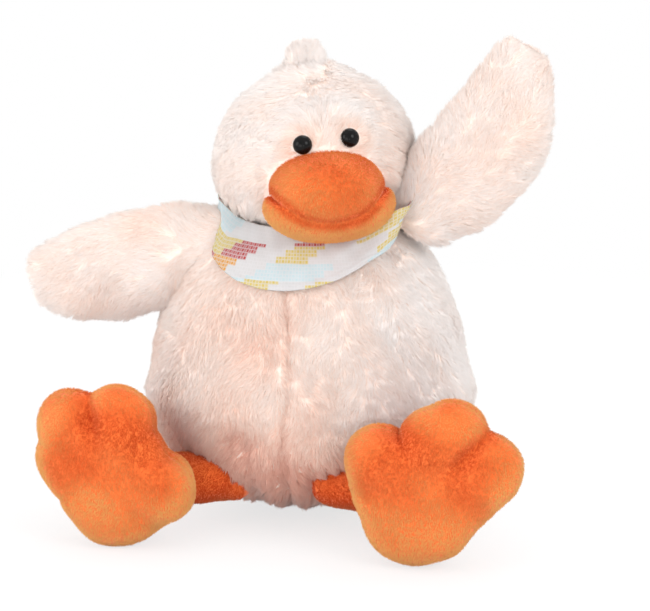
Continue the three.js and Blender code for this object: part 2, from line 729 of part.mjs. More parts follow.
function buildHead() {
  const outer = headForm(0, 30, 7);
  const hollow = neckHollow();
  const grown = headForm(-SEAM_GAP, 30, 7);
  let cover = outer.subtract(headForm(COVER_WALL, 20, 5)).subtract(hollow);
  let filling = headForm(COVER_WALL + SEAM_GAP, 20, 5).subtract(hollow);
  const pieces = [];

  for (const [side, word] of [[-1, "right"], [1, "left"]]) {
    const frame = eyeFrame(side);
    const eyeSpace = moved(eyeShape(SEAM_GAP), frame);
    cover = cover.subtract(eyeSpace);
    filling = filling.subtract(eyeSpace).subtract(moved(washerShape(SEAM_GAP), frame));
    pieces.push([`eye_${word}`, moved(eyeShape(0), frame), 0x0c0b0b, 0.12]);
    pieces.push([`eye_washer_${word}`, moved(washerShape(0), frame), 0xe8e6e0, 0.5]);
  }

  const crestAt = [0, 0, HEAD_UP + CREST_SINK];
  const crest = ellipsoid([CREST_HALF_WIDTH, CREST_HALF_WIDTH * 0.8, CREST_HALF_HEIGHT], crestAt, 16, 8);
  pieces.push(["crest_tuft", crest.subtract(grown), CREAM, 0.9]);

  const eyes = moved(eyeShape(SEAM_GAP), eyeFrame(-1)).add(moved(eyeShape(SEAM_GAP), eyeFrame(1)));
  const billAt = [0, -BILL_CENTRE_FORWARD, BILL_CENTRE_HEIGHT];
  const bill = (inset) => {
    const half = [BILL_HALF_WIDTH - inset, BILL_REACH - inset, BILL_HALF_HEIGHT - inset];
    return ellipsoid(half, billAt, 24, 10, BILL_DROP - inset);
  };
  const lipAt = [0, -LIP_CENTRE_FORWARD, LIP_CENTRE_HEIGHT];
  const lip = (inset) => {
    const whole = ellipsoid([LIP_HALF_WIDTH - inset, LIP_REACH - inset, LIP_HALF_HEIGHT - inset], lipAt, 24, 10);
    const above = block([-BEYOND, -BEYOND, LIP_CORNER_HEIGHT - inset], [BEYOND, BEYOND, BEYOND]);
    const back = LIP_BACK + inset;
    const behind = lathed([[0, -BEYOND], [back, -BEYOND], [back, -HEAD_DOWN / 2], [0, -HEAD_DOWN / 2]], 24);
    return whole.subtract(above).subtract(behind).subtract(bill(-SEAM_GAP - inset));
  };
  const billCover = bill(0).subtract(bill(SHORT_WALL)).subtract(grown).subtract(eyes);
  const billCore = bill(SHORT_WALL + SEAM_GAP).subtract(grown).subtract(eyes);
  pieces.push(["bill_upper_cover", billCover, ORANGE, 0.85]);
  pieces.push(["bill_upper_stuffing", billCore, FILLING, 0.9]);
  pieces.push(["bill_lower_cover", largest(lip(0).subtract(lip(SHORT_WALL)).subtract(grown)), ORANGE, 0.85]);
  pieces.push(["bill_lower_stuffing", largest(lip(SHORT_WALL + SEAM_GAP).subtract(grown)), FILLING, 0.9]);
  pieces.push(["head_cover", cover, CREAM, 0.9]);
  pieces.push(["head_stuffing", filling, FILLING, 0.9]);
  for (const [name, solid, colour, roughness] of pieces) add(name, moved(solid, headPose), colour, roughness);
}

function buildWing(word, wing) {
  const { side, shoulder, swing } = wing;
  const obstacles = torsoForm(-TURN_GAP, 24, 6).add(lathed(bowl, 24, HEAD_CENTRE)).add(clothRing(TURN_GAP, true));
  const resting = torsoForm(-SEAM_GAP, 36, 8)
    .add(moved(headForm(-SEAM_GAP, 30, 7), headPose))
    .add(clothRing(SEAM_GAP, true));
  const outer = wingForm(wing, 0, 20, 12);
  const inner = wingForm(wing, COVER_WALL, 14, 8);
  const core = wingForm(wing, COVER_WALL + SEAM_GAP, 14, 8);
  const axis = [0, -side, 0];
  const filling = clearOf(core, obstacles, shoulder, axis, WING_LOWEST - swing, WING_HIGHEST - swing, 8);
  add(`wing_${word}_cover`, largest(outer.subtract(inner).subtract(resting)), CREAM);
  add(`wing_${word}_stuffing`, largest(filling), FILLING);
}

function buildLeg(word, foot) {
  const hip = [foot.side * HIP_FROM_MIDDLE, -HIP_FORWARD, HIP_HEIGHT];
  const ankle = [
    foot.side * (FOOT_FROM_MIDDLE - ANKLE_INWARD),
    FOOT_HALF_THICK + ANKLE_REACH - FOOT_FORWARD,
    ANKLE_HEIGHT,
  ];
  const across = new THREE.Vector3(ankle[0] - hip[0], ankle[1] - hip[1], 0).cross(new THREE.Vector3(0, 0, 1));
  const axis = [across.x, across.y, across.z];
  const torso = torsoForm(-SEAM_GAP, 36, 8);
  const dishRadius = LEG_RADIUS - SHORT_WALL + SEAM_GAP;
  const dish = ellipsoid([dishRadius, dishRadius, dishRadius], ankle, 20, 10);
  const outer = footForm(foot, 0, 40, 9);
  const inner = footForm(foot, SHORT_WALL, 28, 6);
  const grown = footForm(foot, -SEAM_GAP, 40, 9);
  const tube = legSkin(hip, ankle, 0).subtract(legSkin(hip, ankle, SHORT_WALL));
  const core = legCore(hip, ankle, SHORT_WALL + SEAM_GAP);
  const stuffing = clearOf(core, torsoForm(-TURN_GAP, 36, 8), hip, axis, -LEG_DROP, LEG_LIFT, 8);
  add(`leg_${word}_cover`, largest(tube.subtract(torso).subtract(grown)), 0xd9602a);
  add(`leg_${word}_stuffing`, largest(stuffing), FILLING);
  const filling = footForm(foot, SHORT_WALL + SEAM_GAP, 28, 6);
  add(`foot_${word}_cover`, outer.subtract(inner).subtract(dish).subtract(floorCut), ORANGE);
  add(`foot_${word}_stuffing`, filling.subtract(dish), FILLING);
}

function buildCloth() {
  const knot = largest(knotForm().subtract(clothRing(0, true)).subtract(torsoForm(-SEAM_GAP, 36, 8)));
  add("neckerchief", clothRing(0, false).add(knot), 0xf4f1ee);
}

buildTorso();
buildNeck();
buildHead();
buildWing("right", {
  side: -1,
  shoulder: [SHOULDER_RIGHT_INSET - TORSO_HALF_WIDTH, -SHOULDER_RIGHT_FORWARD, TORSO_HEIGHT - SHOULDER_RIGHT_DROP],
  swing: WING_RIGHT_SWING,
  length: WING_RIGHT_LENGTH,
  root: WING_RIGHT_ROOT,
  tip: WING_RIGHT_TIP,
  swell: WING_RIGHT_SWELL,
  sag: WING_RIGHT_SAG,
});
buildWing("left", {
  side: 1,
  shoulder: [TORSO_HALF_WIDTH - SHOULDER_LEFT_INSET, -SHOULDER_LEFT_FORWARD, TORSO_HEIGHT - SHOULDER_LEFT_DROP],
  swing: WING_LEFT_SWING,
  length: WING_LEFT_LENGTH,
  root: WING_LEFT_ROOT,
  tip: WING_LEFT_TIP,
  swell: WING_LEFT_SWELL,
  sag: WING_LEFT_SAG,
});
buildLeg("right", {
  side: -1,
  lean: FOOT_RIGHT_LEAN,
  outerToe: OUTER_TOE_RIGHT_ANGLE,
  innerToe: INNER_TOE_RIGHT_ANGLE,
});
buildLeg("left", {
  side: 1,
  lean: FOOT_LEFT_LEAN,
  outerToe: OUTER_TOE_LEFT_ANGLE,
  innerToe: INNER_TOE_LEFT_ANGLE,
});
buildCloth();

export default group;
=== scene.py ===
"""The looks of a sitting plush duck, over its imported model. Forms are made in millimetres."""
import math
from functools import partial

import bpy
import numpy as np
from mathutils import Matrix, Vector, kdtree


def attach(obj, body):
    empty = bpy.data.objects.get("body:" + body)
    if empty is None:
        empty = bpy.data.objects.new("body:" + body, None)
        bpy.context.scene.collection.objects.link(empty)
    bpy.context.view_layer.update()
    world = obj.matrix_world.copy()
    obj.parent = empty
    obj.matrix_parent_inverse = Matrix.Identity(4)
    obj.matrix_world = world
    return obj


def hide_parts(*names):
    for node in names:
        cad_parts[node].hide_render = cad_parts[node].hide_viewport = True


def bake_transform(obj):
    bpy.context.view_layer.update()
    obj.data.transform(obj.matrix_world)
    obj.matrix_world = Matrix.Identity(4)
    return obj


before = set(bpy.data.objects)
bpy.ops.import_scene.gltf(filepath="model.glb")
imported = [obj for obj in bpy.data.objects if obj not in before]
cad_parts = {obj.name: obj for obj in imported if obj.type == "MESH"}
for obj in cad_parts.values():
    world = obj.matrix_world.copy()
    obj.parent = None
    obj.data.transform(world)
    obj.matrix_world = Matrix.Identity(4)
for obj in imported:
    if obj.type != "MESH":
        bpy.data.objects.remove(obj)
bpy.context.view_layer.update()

MM = 0.001

# Torso
TORSO_HALF_WIDTH = 95.0
TORSO_FRONT = 84.0
TORSO_BACK = 78.0
BELLY_HEIGHT = 72.0
TORSO_HEIGHT = 180.0
TORSO_TAPER = 0.27
SEAT_CUT = 0.5
SKIN_DEPTH = 2.8  # how far the backing lies below the pile's outline
SHORT_SKIN_DEPTH = 1.2  # and below the short pile's
SEAT_BARE = 4.0  # no pile grows below this height
# Each pinch down to the seat has a place, lean and depth.
BELLY_PINCHES = [(-17, -0.03, 3.2), (-36, -0.3, 2.2), (12, 0.1, 1.6), (-3, 0.05, 1.2)]
# Each dent has a place, height, width and depth.
BELLY_DENTS = [(-22, 55, 13, 5.0), (30, 60, 15, 3.0), (32, 24, 16, 7.0)]

# Head
HEAD_CENTRE = np.array([5.0, -10.0, 203.0])
HEAD_HALF_WIDTH = 58.0
HEAD_FRONT = 52.0
HEAD_BACK = 50.0
HEAD_UP = 52.0
HEAD_DOWN = 41.0
HEAD_YAW = 19.5
HEAD_ROLL = -7.0
BOWL_REACH = 59.0
BOWL_DROP = 44.0
NECK_BALL = 12.8  # radius of the post's round top
# The post has a height from the head's centre and a radius at each level.
NECK_LEVELS = [
    (-63, 15), (-60, 17.5), (-57, 17.5), (-54, 10), (-30, 8.6), (-12, 8.6), (-8, 10), (0, NECK_BALL), (8, 10),
]

# Face, in the head's own frame
# Each lobe of the crest has a name, a place, a height over the head, a half width and a half height.
CREST_LOBES = [("right", -0.5, 2.0, 7.0, 10.0), ("left", 4.8, 1.0, 6.6, 9.5)]
EYE_RADIUS = 5.6
EYE_RISE = 4.6
EYE_INSET = 0.4
EYE_RIM = 1.4
EYE_SPACING = 26.0
EYE_SIDEWAYS = 2.4
EYE_HEIGHT = 16.0
BILL_HALF = np.array([31.5, 31.0, 20.5])
BILL_DROP = 22.5
BILL_SQUARE = 2.5  # 2 is round underneath, more is fuller
BILL_CENTRE = np.array([0.0, -45.0, -8.5])
BILL_SLOPE = -0.06  # the bill hangs a little more level than the head
LIP_HALF = np.array([36.5, 24.0, 21.0])
LIP_CENTRE = np.array([0.0, -46.0, -19.0])
LIP_CORNER_HEIGHT = -8.5
LIP_MIDDLE_HEIGHT = -20.5

# Wings
WING_HALF_THICK = 19.0
WING_ROOT_DEPTH = 16.0
WING_RIGHT = {
    "side": -1, "shoulder": (-55.0, -20.0, 151.0), "swing": -13.0, "length": 107.0,
    "root": 26.0, "tip": 27.0, "swell": 5.0, "sag": 3.0, "tuck": 9.0, "blunt": 0.24,
}
WING_LEFT = {
    "side": 1, "shoulder": (66.0, -12.0, 177.0), "swing": 58.0, "length": 109.0,
    "root": 33.0, "tip": 25.0, "swell": 3.0, "sag": 50.0, "tuck": 0.0, "blunt": 0.35,
}

# Legs and feet
HIP = np.array([33.0, -50.0, 27.0])
ANKLE = np.array([75.0, -73.5, 31.0])
LEG_RIGHT_ROOT = np.array([-33.0, -50.0, 27.0])
LEG_LEFT_ROOT = np.array([24.0, -53.0, 28.0])
LEG_RADIUS = 13.5
FOOT_HALF_THICK = 19.0
FOOT_FROM_MIDDLE = 87.0
FOOT_FORWARD = 100.0
TOE_RADIUS = 19.5
TOE_REACH = 28.0
OUTER_TOE_RADIUS = 20.0
OUTER_TOE_REACH = 33.0
HEEL_RADIUS = 31.0
HEEL_REACH = 13.0
HEEL_ANGLE = -168.0
PALM_RADIUS = 33.0
# "longer" is how much further the middle, outer and inner toe reach than on the plain foot,
# and "fuller" the angle, reach and radius of one more lobe where the sole is fuller.
FOOT_RIGHT = {
    "side": -1, "lean": 7.0, "outer": 51.0, "inner": -104.0,
    "longer": (0.0, 0.0, 0.0), "fuller": (84.0, 19.0, 25.0),
}
FOOT_LEFT = {
    "side": 1, "lean": 20.0, "outer": 45.0, "inner": -82.0,
    "longer": (5.0, 0.0, 3.5), "fuller": (-14.0, 27.0, 20.0),
}

# Neckerchief
CLOTH_THICK = 1.8
CLOTH_EASE = 0.6
CLOTH_OFF = 0.6  # how far its inner side stands off the plain cloth's
CLOTH_FOLD = 1.4
CLOTH_FOLDS = 7
CLOTH_FRONT_LOW = 41.0
CLOTH_FRONT_HIGH = 10.0
CLOTH_BACK_LOW = 17.0
CLOTH_BACK_HIGH = 4.0
CLOTH_SLANT = 4.0
CLOTH_SIDE_LIFT = 24.0  # how far its lower edge rises round the sides
CLOTH_SIDE_WIDTH = 13.0
CLOTH_LOBE = 11.0  # how far it stands up beside the bill
CLOTH_FLARE = 9.0  # and out, over the raised wing's root
CLOTH_RISE = 9.0  # how far it climbs over the level wing's root
CLOTH_MAP_WIDE = 480.0  # millimetres of cloth over the map's width
CLOTH_MAP_TALL = 120.0
CHECK_SIZE = 2.0
CHECK_FILL = 0.76  # the printed share of a check's side
CHECK_COLOURS = [
    (0.0, (0.56, 0.55, 0.55)),
    (0.24, (0.46, 0.57, 0.6)),
    (0.44, (0.56, 0.44, 0.13)),
    (0.58, (0.4, 0.06, 0.06)),
    (0.7, (0.57, 0.55, 0.55)),
    (0.82, (0.6, 0.28, 0.04)),
    (0.9, (0.62, 0.26, 0.3)),
]
PATCH_WIDE = 11  # how many checks a patch of one colour counts across
PATCH_TALL = 5
PATCH_STEP = 3  # how many checks a patch moves aside every two rows
THREAD_SIZE = 0.55
KNOT_HALF = np.array([11.0, 7.0, 7.0])

# Pile
LONG_PILE = {
    "length": 6.2, "width": 0.66, "density": 2.8, "clump": 4.6, "pull": 0.42, "lift": 25.0, "stray": 0.3,
}
SHORT_PILE = {
    "length": 1.8, "width": 0.46, "density": 3.7, "clump": 2.4, "pull": 0.05, "lift": 38.0, "stray": 0.12,
}
CREST_PILE = {
    **LONG_PILE, "length": 5.2, "density": 8.0, "clump": 4.0, "pull": 0.4, "lift": 34.0, "stray": 0.6,
}
BILL_PILE = {**SHORT_PILE, "density": 4.5}
MOST_STRANDS = 66000
ROOT_DEPTH = 0.5
STRAND_SIDES = np.radians([30, 150, 270])
FLOOR_CLEAR = 0.3
BACKING_CLEAR = FLOOR_CLEAR + 0.6

# Stage, in metres
FLOOR_SIZE = 24.0
# Each lamp has a name, a place, a target, a width and a power.
LAMPS = [
    ("key", (1.2, -0.9, 1.0), (0, 0, 0.12), 0.8, 6.8),
    ("fill", (-1.2, -1.0, 0.7), (0, 0, 0.12), 1.0, 6.4),
    ("top", (0.1, 0.5, 1.4), (0, 0, 0.15), 0.8, 2.4),
    ("low", (-0.3, -1.4, 0.12), (0, 0, 0.1), 1.0, 4.2),
    ("catchlight", (0.42, -1.2, 0.32), (0, 0, 0.2), 0.06, 1.0),
]
CAMERA_AZIMUTH = 12.0
CAMERA_ELEVATION = 12.5
CAMERA_DISTANCE = 1.3
CAMERA_TARGET = Vector((0.009, 0.0, 0.1165))
LENS = 126.3
SENSOR_WIDTH = 36.0


# Turns and fields


def circle(count):
    """Evenly spaced angles all the way round."""
    return np.linspace(0, 2 * np.pi, count, endpoint=False)


def size_of(vectors):
    return np.linalg.norm(vectors, axis=-1)


def unit(vectors):
    return vectors / np.maximum(size_of(vectors)[..., None], 1e-9)


def smooth_noise(points, size, seed):
    """A smooth field, mostly between -1 and 1, with bumps about size across."""
    rng = np.random.default_rng(seed)
    waves = rng.normal(size=(9, 3))
    waves /= size_of(waves)[:, None]
    waves *= (2 * np.pi / size) * rng.uniform(0.6, 1.3, 9)[:, None]
    return np.sin(points @ waves.T + rng.uniform(0, 2 * np.pi, 9)).sum(1) / 3


def turned(points, axis, degrees):
    matrix = np.array(Matrix.Rotation(math.radians(degrees), 3, Vector(axis)))
    return points @ matrix.T


def head_to_world(points):
    return turned(turned(points, (0, 1, 0), HEAD_ROLL), (0, 0, 1), HEAD_YAW) + HEAD_CENTRE


def head_to_local(points):
    return turned(turned(points - HEAD_CENTRE, (0, 0, 1), -HEAD_YAW), (0, 1, 0), -HEAD_ROLL)


def bell(distance, width):
    return np.exp(-((distance / width) ** 2))


def smooth_step(values, start, end):
    share = np.clip((values - start) / (end - start), 0, 1)
    return share * share * (3 - 2 * share)


def soft_below(values, limit, width):
    """Keeps values below a limit, with a round shoulder of this width."""
    return limit - width * np.log1p(np.exp(np.clip((limit - values) / width, -40, 40)))


# Skins: a grid of points with a pole at each end


class Skin:
    """A closed surface in millimetres, with what the pile needs to stand on it."""

    def __init__(self, rows, first, last):
        height, around = rows.shape[:2]
        self.points = np.vstack([first, rows.reshape(-1, 3), last])
        grid = 1 + np.arange(height * around).reshape(height, around)
        after = np.roll(grid, -1, axis=1)
        quads = np.stack([grid[:-1], after[:-1], after[1:], grid[1:]], -1).reshape(-1, 4)
        end = len(self.points) - 1
        low = np.stack([np.zeros(around, int), after[0], grid[0]], -1)
        high = np.stack([np.full(around, end), grid[-1], after[-1]], -1)
        self.quads, self.caps = quads, np.vstack([low, high])
        if self.volume() < 0:
            self.quads, self.caps = self.quads[:, ::-1], self.caps[:, ::-1]

    def triangles(self):
        q = self.quads
        return np.vstack([q[:, [0, 1, 2]], q[:, [0, 2, 3]], self.caps])

    def corners(self):
        return (self.points[column] for column in self.triangles().T)

    def volume(self):
        a, b, c = self.corners()
        return (a * np.cross(b, c)).sum() / 6

    def patches(self):
        """The triangles, with their areas and middles."""
        a, b, c = self.corners()
        return self.triangles(), size_of(np.cross(b - a, c - a)) / 2, (a + b + c) / 3

    def normals(self):
        a, b, c = self.corners()
        faces = np.cross(b - a, c - a)
        total = np.zeros_like(self.points)
        for column in self.triangles().T:
            np.add.at(total, column, faces)
        return unit(total)

    def sink(self, depth):
        """Moves each point in by a depth of its own."""
        self.points = self.points - self.normals() * depth[:, None]


def mesh_object(name, points, groups, material):
    """A smooth mesh of the points, from one array of faces for each number of corners."""
    mesh = bpy.data.meshes.new(name)
    corners = np.concatenate([group.ravel() for group in groups])
    sizes = np.concatenate([np.full(len(group), group.shape[1]) for group in groups])
    mesh.vertices.add(len(points))
    mesh.vertices.foreach_set("co", (points * MM).astype(np.float32).ravel())
    mesh.loops.add(len(corners))
    mesh.loops.foreach_set("vertex_index", corners.astype(np.int32))
    mesh.polygons.add(len(sizes))
    mesh.polygons.foreach_set("loop_start", (np.cumsum(sizes) - sizes).astype(np.int32))
    mesh.update(calc_edges=True)
    mesh.validate()
    mesh.shade_smooth()
    mesh.materials.append(material)
    piece = bpy.data.objects.new(name, mesh)
    bpy.context.scene.collection.objects.link(piece)
    return piece


def skin_object(name, skin, material):
    return mesh_object(name, skin.points, [skin.quads, skin.caps], material)


def lay_map(piece, places):
    """Gives each corner its place on the map that the materials read."""
    layer = piece.data.uv_layers.new(name="OFBake")
    layer.data.foreach_set("uv", places.astype(np.float32).ravel())


# Pile: thin tapering strands that stand on a skin


def nearest(centres, points):
    """The number of the centre that is nearest to each point."""
    tree = kdtree.KDTree(len(centres))
    for i, centre in enumerate(centres.tolist()):
        tree.insert(centre, i)
    tree.balance()
    return np.array([tree.find(point)[1] for point in points.tolist()])


def scattered(skin, count, rng, keep):
    """Random spots on the kept part of a skin, with its normals there."""
    tris, areas, middles = skin.patches()
    weight = areas * keep(middles)
    picked = rng.choice(len(tris), size=count, p=weight / weight.sum())
    share = rng.random((count, 2))
    over = share.sum(1) > 1
    share[over] = 1 - share[over]
    mix = np.column_stack([1 - share.sum(1), share])[..., None]
    normals = skin.normals()
    spots = (skin.points[tris[picked]] * mix).sum(1)
    return spots, unit((normals[tris[picked]] * mix).sum(1))


def tips(spots, normals, flow, trim, rng, style):
    """Where strands that lean over along the flow end."""
    count = len(spots)
    along = flow(spots)
    along = unit(along - normals * (along * normals).sum(1)[:, None])
    swirl = min(0.5, 2 * style["stray"]) * smooth_noise(spots, 34.0, 5)
    swirl = swirl + rng.normal(0, style["stray"], count)
    across = np.cross(normals, along)
    along = along * np.cos(swirl)[:, None] + across * np.sin(swirl)[:, None]
    uneven = 1 + 0.1 * smooth_noise(spots, 16.0, 8) + rng.normal(0, 0.12, count)
    reach = style["length"] * trim(spots) * uneven
    lift = np.radians(style["lift"] + 3 * smooth_noise(spots, 22.0, 9) + rng.normal(0, 5, count))[:, None]
    return spots + reach[:, None] * (along * np.cos(lift) + normals * np.sin(lift))


def everywhere(points):
    return np.ones(len(points))


def pile(name, skin, material, style, flow, seed, keep, tone_and_shade, trim=everywhere):
    """A mesh of three-sided strands over the part of the skin that keep says."""
    rng = np.random.default_rng(seed)
    _, areas, middles = skin.patches()
    area = (areas * keep(middles)).sum()
    count = int(min(MOST_STRANDS, area * style["density"]))
    spots, normals = scattered(skin, count, rng, keep)
    tip = tips(spots, normals, flow, trim, rng, style)
    hub_spots, hub_normals = scattered(skin, max(8, int(area / style["clump"] ** 2)), rng, keep)
    hub_tip = tips(hub_spots, hub_normals, flow, trim, rng, style)
    own = nearest(hub_spots, spots)
    pull = style["pull"] * trim(spots) ** 2 * rng.uniform(0.5, 1.3, count)
    tip = tip + (hub_tip[own] - tip) * np.minimum(pull, 0.9)[:, None]
    lean = unit(tip - spots)
    side = unit(np.cross(lean, normals))
    front = np.cross(lean, side)
    roll = rng.uniform(-0.5, 0.5, (count, 1)) + STRAND_SIDES
    spokes = np.cos(roll)[..., None] * side[:, None] + np.sin(roll)[..., None] * front[:, None]
    thick = style["width"] / 2 * rng.uniform(0.7, 1.25, count)
    root = (spots - normals * ROOT_DEPTH)[:, None] + spokes * thick[:, None, None]
    points = np.concatenate([root, tip[:, None]], 1)
    points[..., 2] = np.maximum(points[..., 2], FLOOR_CLEAR)
    order = np.array([[0, 1, 3], [1, 2, 3], [2, 0, 3]])
    faces = (np.arange(count)[:, None, None] * 4 + order).reshape(-1, 3)
    piece = mesh_object(name, points.reshape(-1, 3), [faces], material)
    shade = 0.5 * normals[:, None] + rng.normal(0, 0.04, (count, 1, 3))
    shade = unit(np.concatenate([shade + 0.5 * spokes, shade + 0.2 * lean[:, None]], 1))[:, order]
    under = unit(np.cross(root[:, 1] - root[:, 0], tip - root[:, 0]))
    shade[:, 0] = unit(under + lean)[:, None]
    piece.data.normals_split_custom_set(shade.reshape(-1, 3).tolist())
    # Random variation, plus painted light and shade from each part's own function.
    value = 0.55 + 0.08 * smooth_noise(spots, 30.0, 21) + rng.normal(0, 0.08, count) + tone_and_shade(spots)
    u = np.clip(value, 0.01, 0.99)[:, None] + np.array([-0.004, 0.004, 0.0, 0.0])
    v = np.broadcast_to(np.array([0.01, 0.01, 0.03, 0.99]), u.shape)
    lay_map(piece, np.stack([u, v], -1).reshape(-1, 2)[faces.ravel()])
    return piece


def downward(points):
    return np.array([0.0, 0.0, -1.0])


def forward(points):
    """Down, and towards the front where the skin faces up."""
    return np.array([0.0, -0.5, -1.0])


# Materials


def feed(tree, node, inputs):
    """Sets a node's inputs to values, or links them to other nodes' outputs."""
    for name, value in inputs.items():
        if isinstance(value, bpy.types.NodeSocket):
            tree.links.new(value, node.inputs[name])
        else:
            node.inputs[name].default_value = value


def add_node(tree, kind, inputs, **settings):
    node = tree.nodes.new(kind)
    for name, value in settings.items():
        setattr(node, name, value)
    feed(tree, node, inputs)
    return node


def new_material(name):
    material = bpy.data.materials.new(name)
    material.use_nodes = True
    tree = material.node_tree
    return material, tree, tree.nodes["Principled BSDF"]


def math_node(tree, kind, *values):
    return add_node(tree, "ShaderNodeMath", dict(enumerate(values)), operation=kind).outputs[0]


def range_node(tree, value, start, end, low=0.0, high=1.0):
    """Turns values between low and high into values between start and end."""
    ends = {"Value": value, "From Min": low, "From Max": high, "To Min": start, "To Max": end}
    return add_node(tree, "ShaderNodeMapRange", ends).outputs["Result"]


def ramp_node(tree, value, stops, interpolation="LINEAR"):
    """The colour that a value has between stops of a value and a colour."""
    node = add_node(tree, "ShaderNodeValToRGB", {"Fac": value})
    node.color_ramp.interpolation = interpolation
    elements = node.color_ramp.elements
    while len(elements) > 1:
        elements.remove(elements[-1])
    elements[0].position, elements[0].color = stops[0][0], (*stops[0][1], 1)
    for at, colour in stops[1:]:
        elements.new(at).color = (*colour, 1)
    return node.outputs["Color"]


def noise_node(tree, scale, detail=2.0):
    """Noise that is fixed to the object."""
    place = add_node(tree, "ShaderNodeTexCoord", {}).outputs["Object"]
    inputs = {"Vector": place, "Scale": scale, "Detail": detail}
    return add_node(tree, "ShaderNodeTexNoise", inputs).outputs["Fac"]


def map_node(tree):
    """The place on the piece's map."""
    place = add_node(tree, "ShaderNodeUVMap", {}, uv_map="OFBake").outputs["UV"]
    return add_node(tree, "ShaderNodeSeparateXYZ", {"Vector": place}).outputs


def bump_node(tree, height, strength, distance):
    inputs = {"Height": height, "Strength": strength, "Distance": distance}
    return add_node(tree, "ShaderNodeBump", inputs).outputs["Normal"]


def pile_material(name, tones, along, sheen, tint):
    """Each strand's colour value, with painted light and shade in it, is its map's first number; the second
    runs from root to tip.
    """
    material, tree, shader = new_material(name)
    place = map_node(tree)
    inputs = {"Factor": 1, 6: ramp_node(tree, place["X"], tones), 7: ramp_node(tree, place["Y"], along)}
    mix = add_node(tree, "ShaderNodeMix", inputs, data_type="RGBA", blend_type="MULTIPLY")
    feed(tree, shader, {
        "Base Color": mix.outputs[2],
        "Roughness": 0.85,
        "Specular IOR Level": 0.2,
        "Sheen Weight": sheen,
        "Sheen Roughness": 0.45,
        "Sheen Tint": (*tint, 1),
    })
    return material


def backing_material(name, dark, light, size, sheen=0.2):
    """Woven backing under the pile, mottled, with a fine bump; its colours are a little darker than the
    pile's, painted shade deep in the pile.
    """
    material, tree, shader = new_material(name)
    feed(tree, shader, {
        "Base Color": ramp_node(tree, noise_node(tree, size, 4.0), [(0.3, dark), (0.7, light)]),
        "Normal": bump_node(tree, noise_node(tree, 900), 0.4, 0.0006),
        "Roughness": 0.9,
        "Specular IOR Level": 0.2,
        "Sheen Weight": sheen,
    })
    return material


def eye_material():
    material, tree, shader = new_material("eye_black")
    scuffs = noise_node(tree, 400)
    feed(tree, shader, {
        "Base Color": ramp_node(tree, scuffs, [(0.4, (0.003, 0.003, 0.003)), (0.7, (0.007, 0.006, 0.006))]),
        "Roughness": range_node(tree, scuffs, 0.06, 0.14),
        "Specular IOR Level": 0.16,
    })
    return material


def washer_material():
    material, tree, shader = new_material("washer_white")
    tones = [(0.3, (0.76, 0.76, 0.72)), (0.7, (0.84, 0.84, 0.8))]
    feed(tree, shader, {"Base Color": ramp_node(tree, noise_node(tree, 250), tones), "Roughness": 0.45})
    return material


def cotton_material():
    """Plain cotton with patches of small printed checks."""
    material, tree, shader = new_material("cotton_print")
    calc = partial(math_node, tree)
    place = map_node(tree)
    across = calc("MULTIPLY", place["X"], CLOTH_MAP_WIDE)
    down = calc("MULTIPLY", place["Y"], CLOTH_MAP_TALL)
    checks = [calc("DIVIDE", way, CHECK_SIZE) for way in (across, down)]
    column, row = (calc("FLOOR", way) for way in checks)
    steps = calc("MULTIPLY", calc("FLOOR", calc("DIVIDE", row, 2)), PATCH_STEP)
    patch = add_node(tree, "ShaderNodeCombineXYZ", {
        "X": calc("FLOOR", calc("DIVIDE", calc("ADD", column, steps), PATCH_WIDE)),
        "Y": calc("FLOOR", calc("DIVIDE", calc("ADD", row, 40), PATCH_TALL)),
    }).outputs["Vector"]
    pick = add_node(tree, "ShaderNodeTexWhiteNoise", {"Vector": patch}, noise_dimensions="3D")
    gaps = [calc("GREATER_THAN", calc("FRACT", way), CHECK_FILL) for way in checks]
    odd = calc("FLOORED_MODULO", calc("ADD", column, row), 2)
    mix = add_node(tree, "ShaderNodeMix", {
        "Factor": calc("MAXIMUM", calc("MULTIPLY", calc("MAXIMUM", *gaps), 0.6), calc("MULTIPLY", odd, 0.2)),
        6: ramp_node(tree, pick.outputs["Value"], CHECK_COLOURS, "CONSTANT"),
        7: (0.6, 0.59, 0.6, 1),
    }, data_type="RGBA")
    threads = [calc("SINE", calc("MULTIPLY", way, 2 * math.pi / THREAD_SIZE)) for way in (across, down)]
    feed(tree, shader, {
        "Base Color": mix.outputs[2],
        "Normal": bump_node(tree, calc("MULTIPLY", *threads), 0.35, 0.0003),
        "Roughness": 0.8,
        "Specular IOR Level": 0.25,
        "Sheen Weight": 0.1,
    })
    return material


CREAM = pile_material(
    "cream_pile",
    # Low values, pinker and darker, carry painted shade; the high ones carry painted light.
    [
        (0.0, (0.83, 0.45, 0.35)),
        (0.3, (0.95, 0.69, 0.58)),
        (0.55, (0.97, 0.82, 0.74)),
        (0.8, (0.975, 0.9, 0.86)),
        (1.0, (0.98, 0.94, 0.92)),
    ],
    # Roots painted darker and pinker: painted shade deep in the pile.
    [(0.0, (0.98, 0.93, 0.9)), (0.5, (1.0, 0.98, 0.97)), (1.0, (1.0, 1.0, 1.0))],
    sheen=0.5,
    tint=(1.0, 0.96, 0.93),
)
CREAM_BACK = backing_material("cream_backing", (0.93, 0.76, 0.67), (0.96, 0.84, 0.77), size=60)
ORANGE = pile_material(
    "orange_pile",
    # Low values carry painted shade; the highest carry the painted light on rims.
    [
        (0.0, (0.62, 0.06, 0.006)),
        (0.35, (0.73, 0.12, 0.024)),
        (0.6, (0.78, 0.21, 0.054)),
        (1.0, (0.88, 0.44, 0.14)),
    ],
    # Roots painted darker: painted shade deep in the pile.
    [(0.0, (0.92, 0.84, 0.76)), (0.5, (0.98, 0.95, 0.92)), (1.0, (1.0, 1.0, 1.0))],
    sheen=0.7,
    tint=(1.0, 0.58, 0.28),
)
ORANGE_BACK = backing_material(
    "orange_backing", (0.8, 0.14, 0.025), (0.84, 0.18, 0.035), size=45, sheen=0.4,
)
EYE = eye_material()
WASHER = washer_material()
COTTON = cotton_material()


# Torso


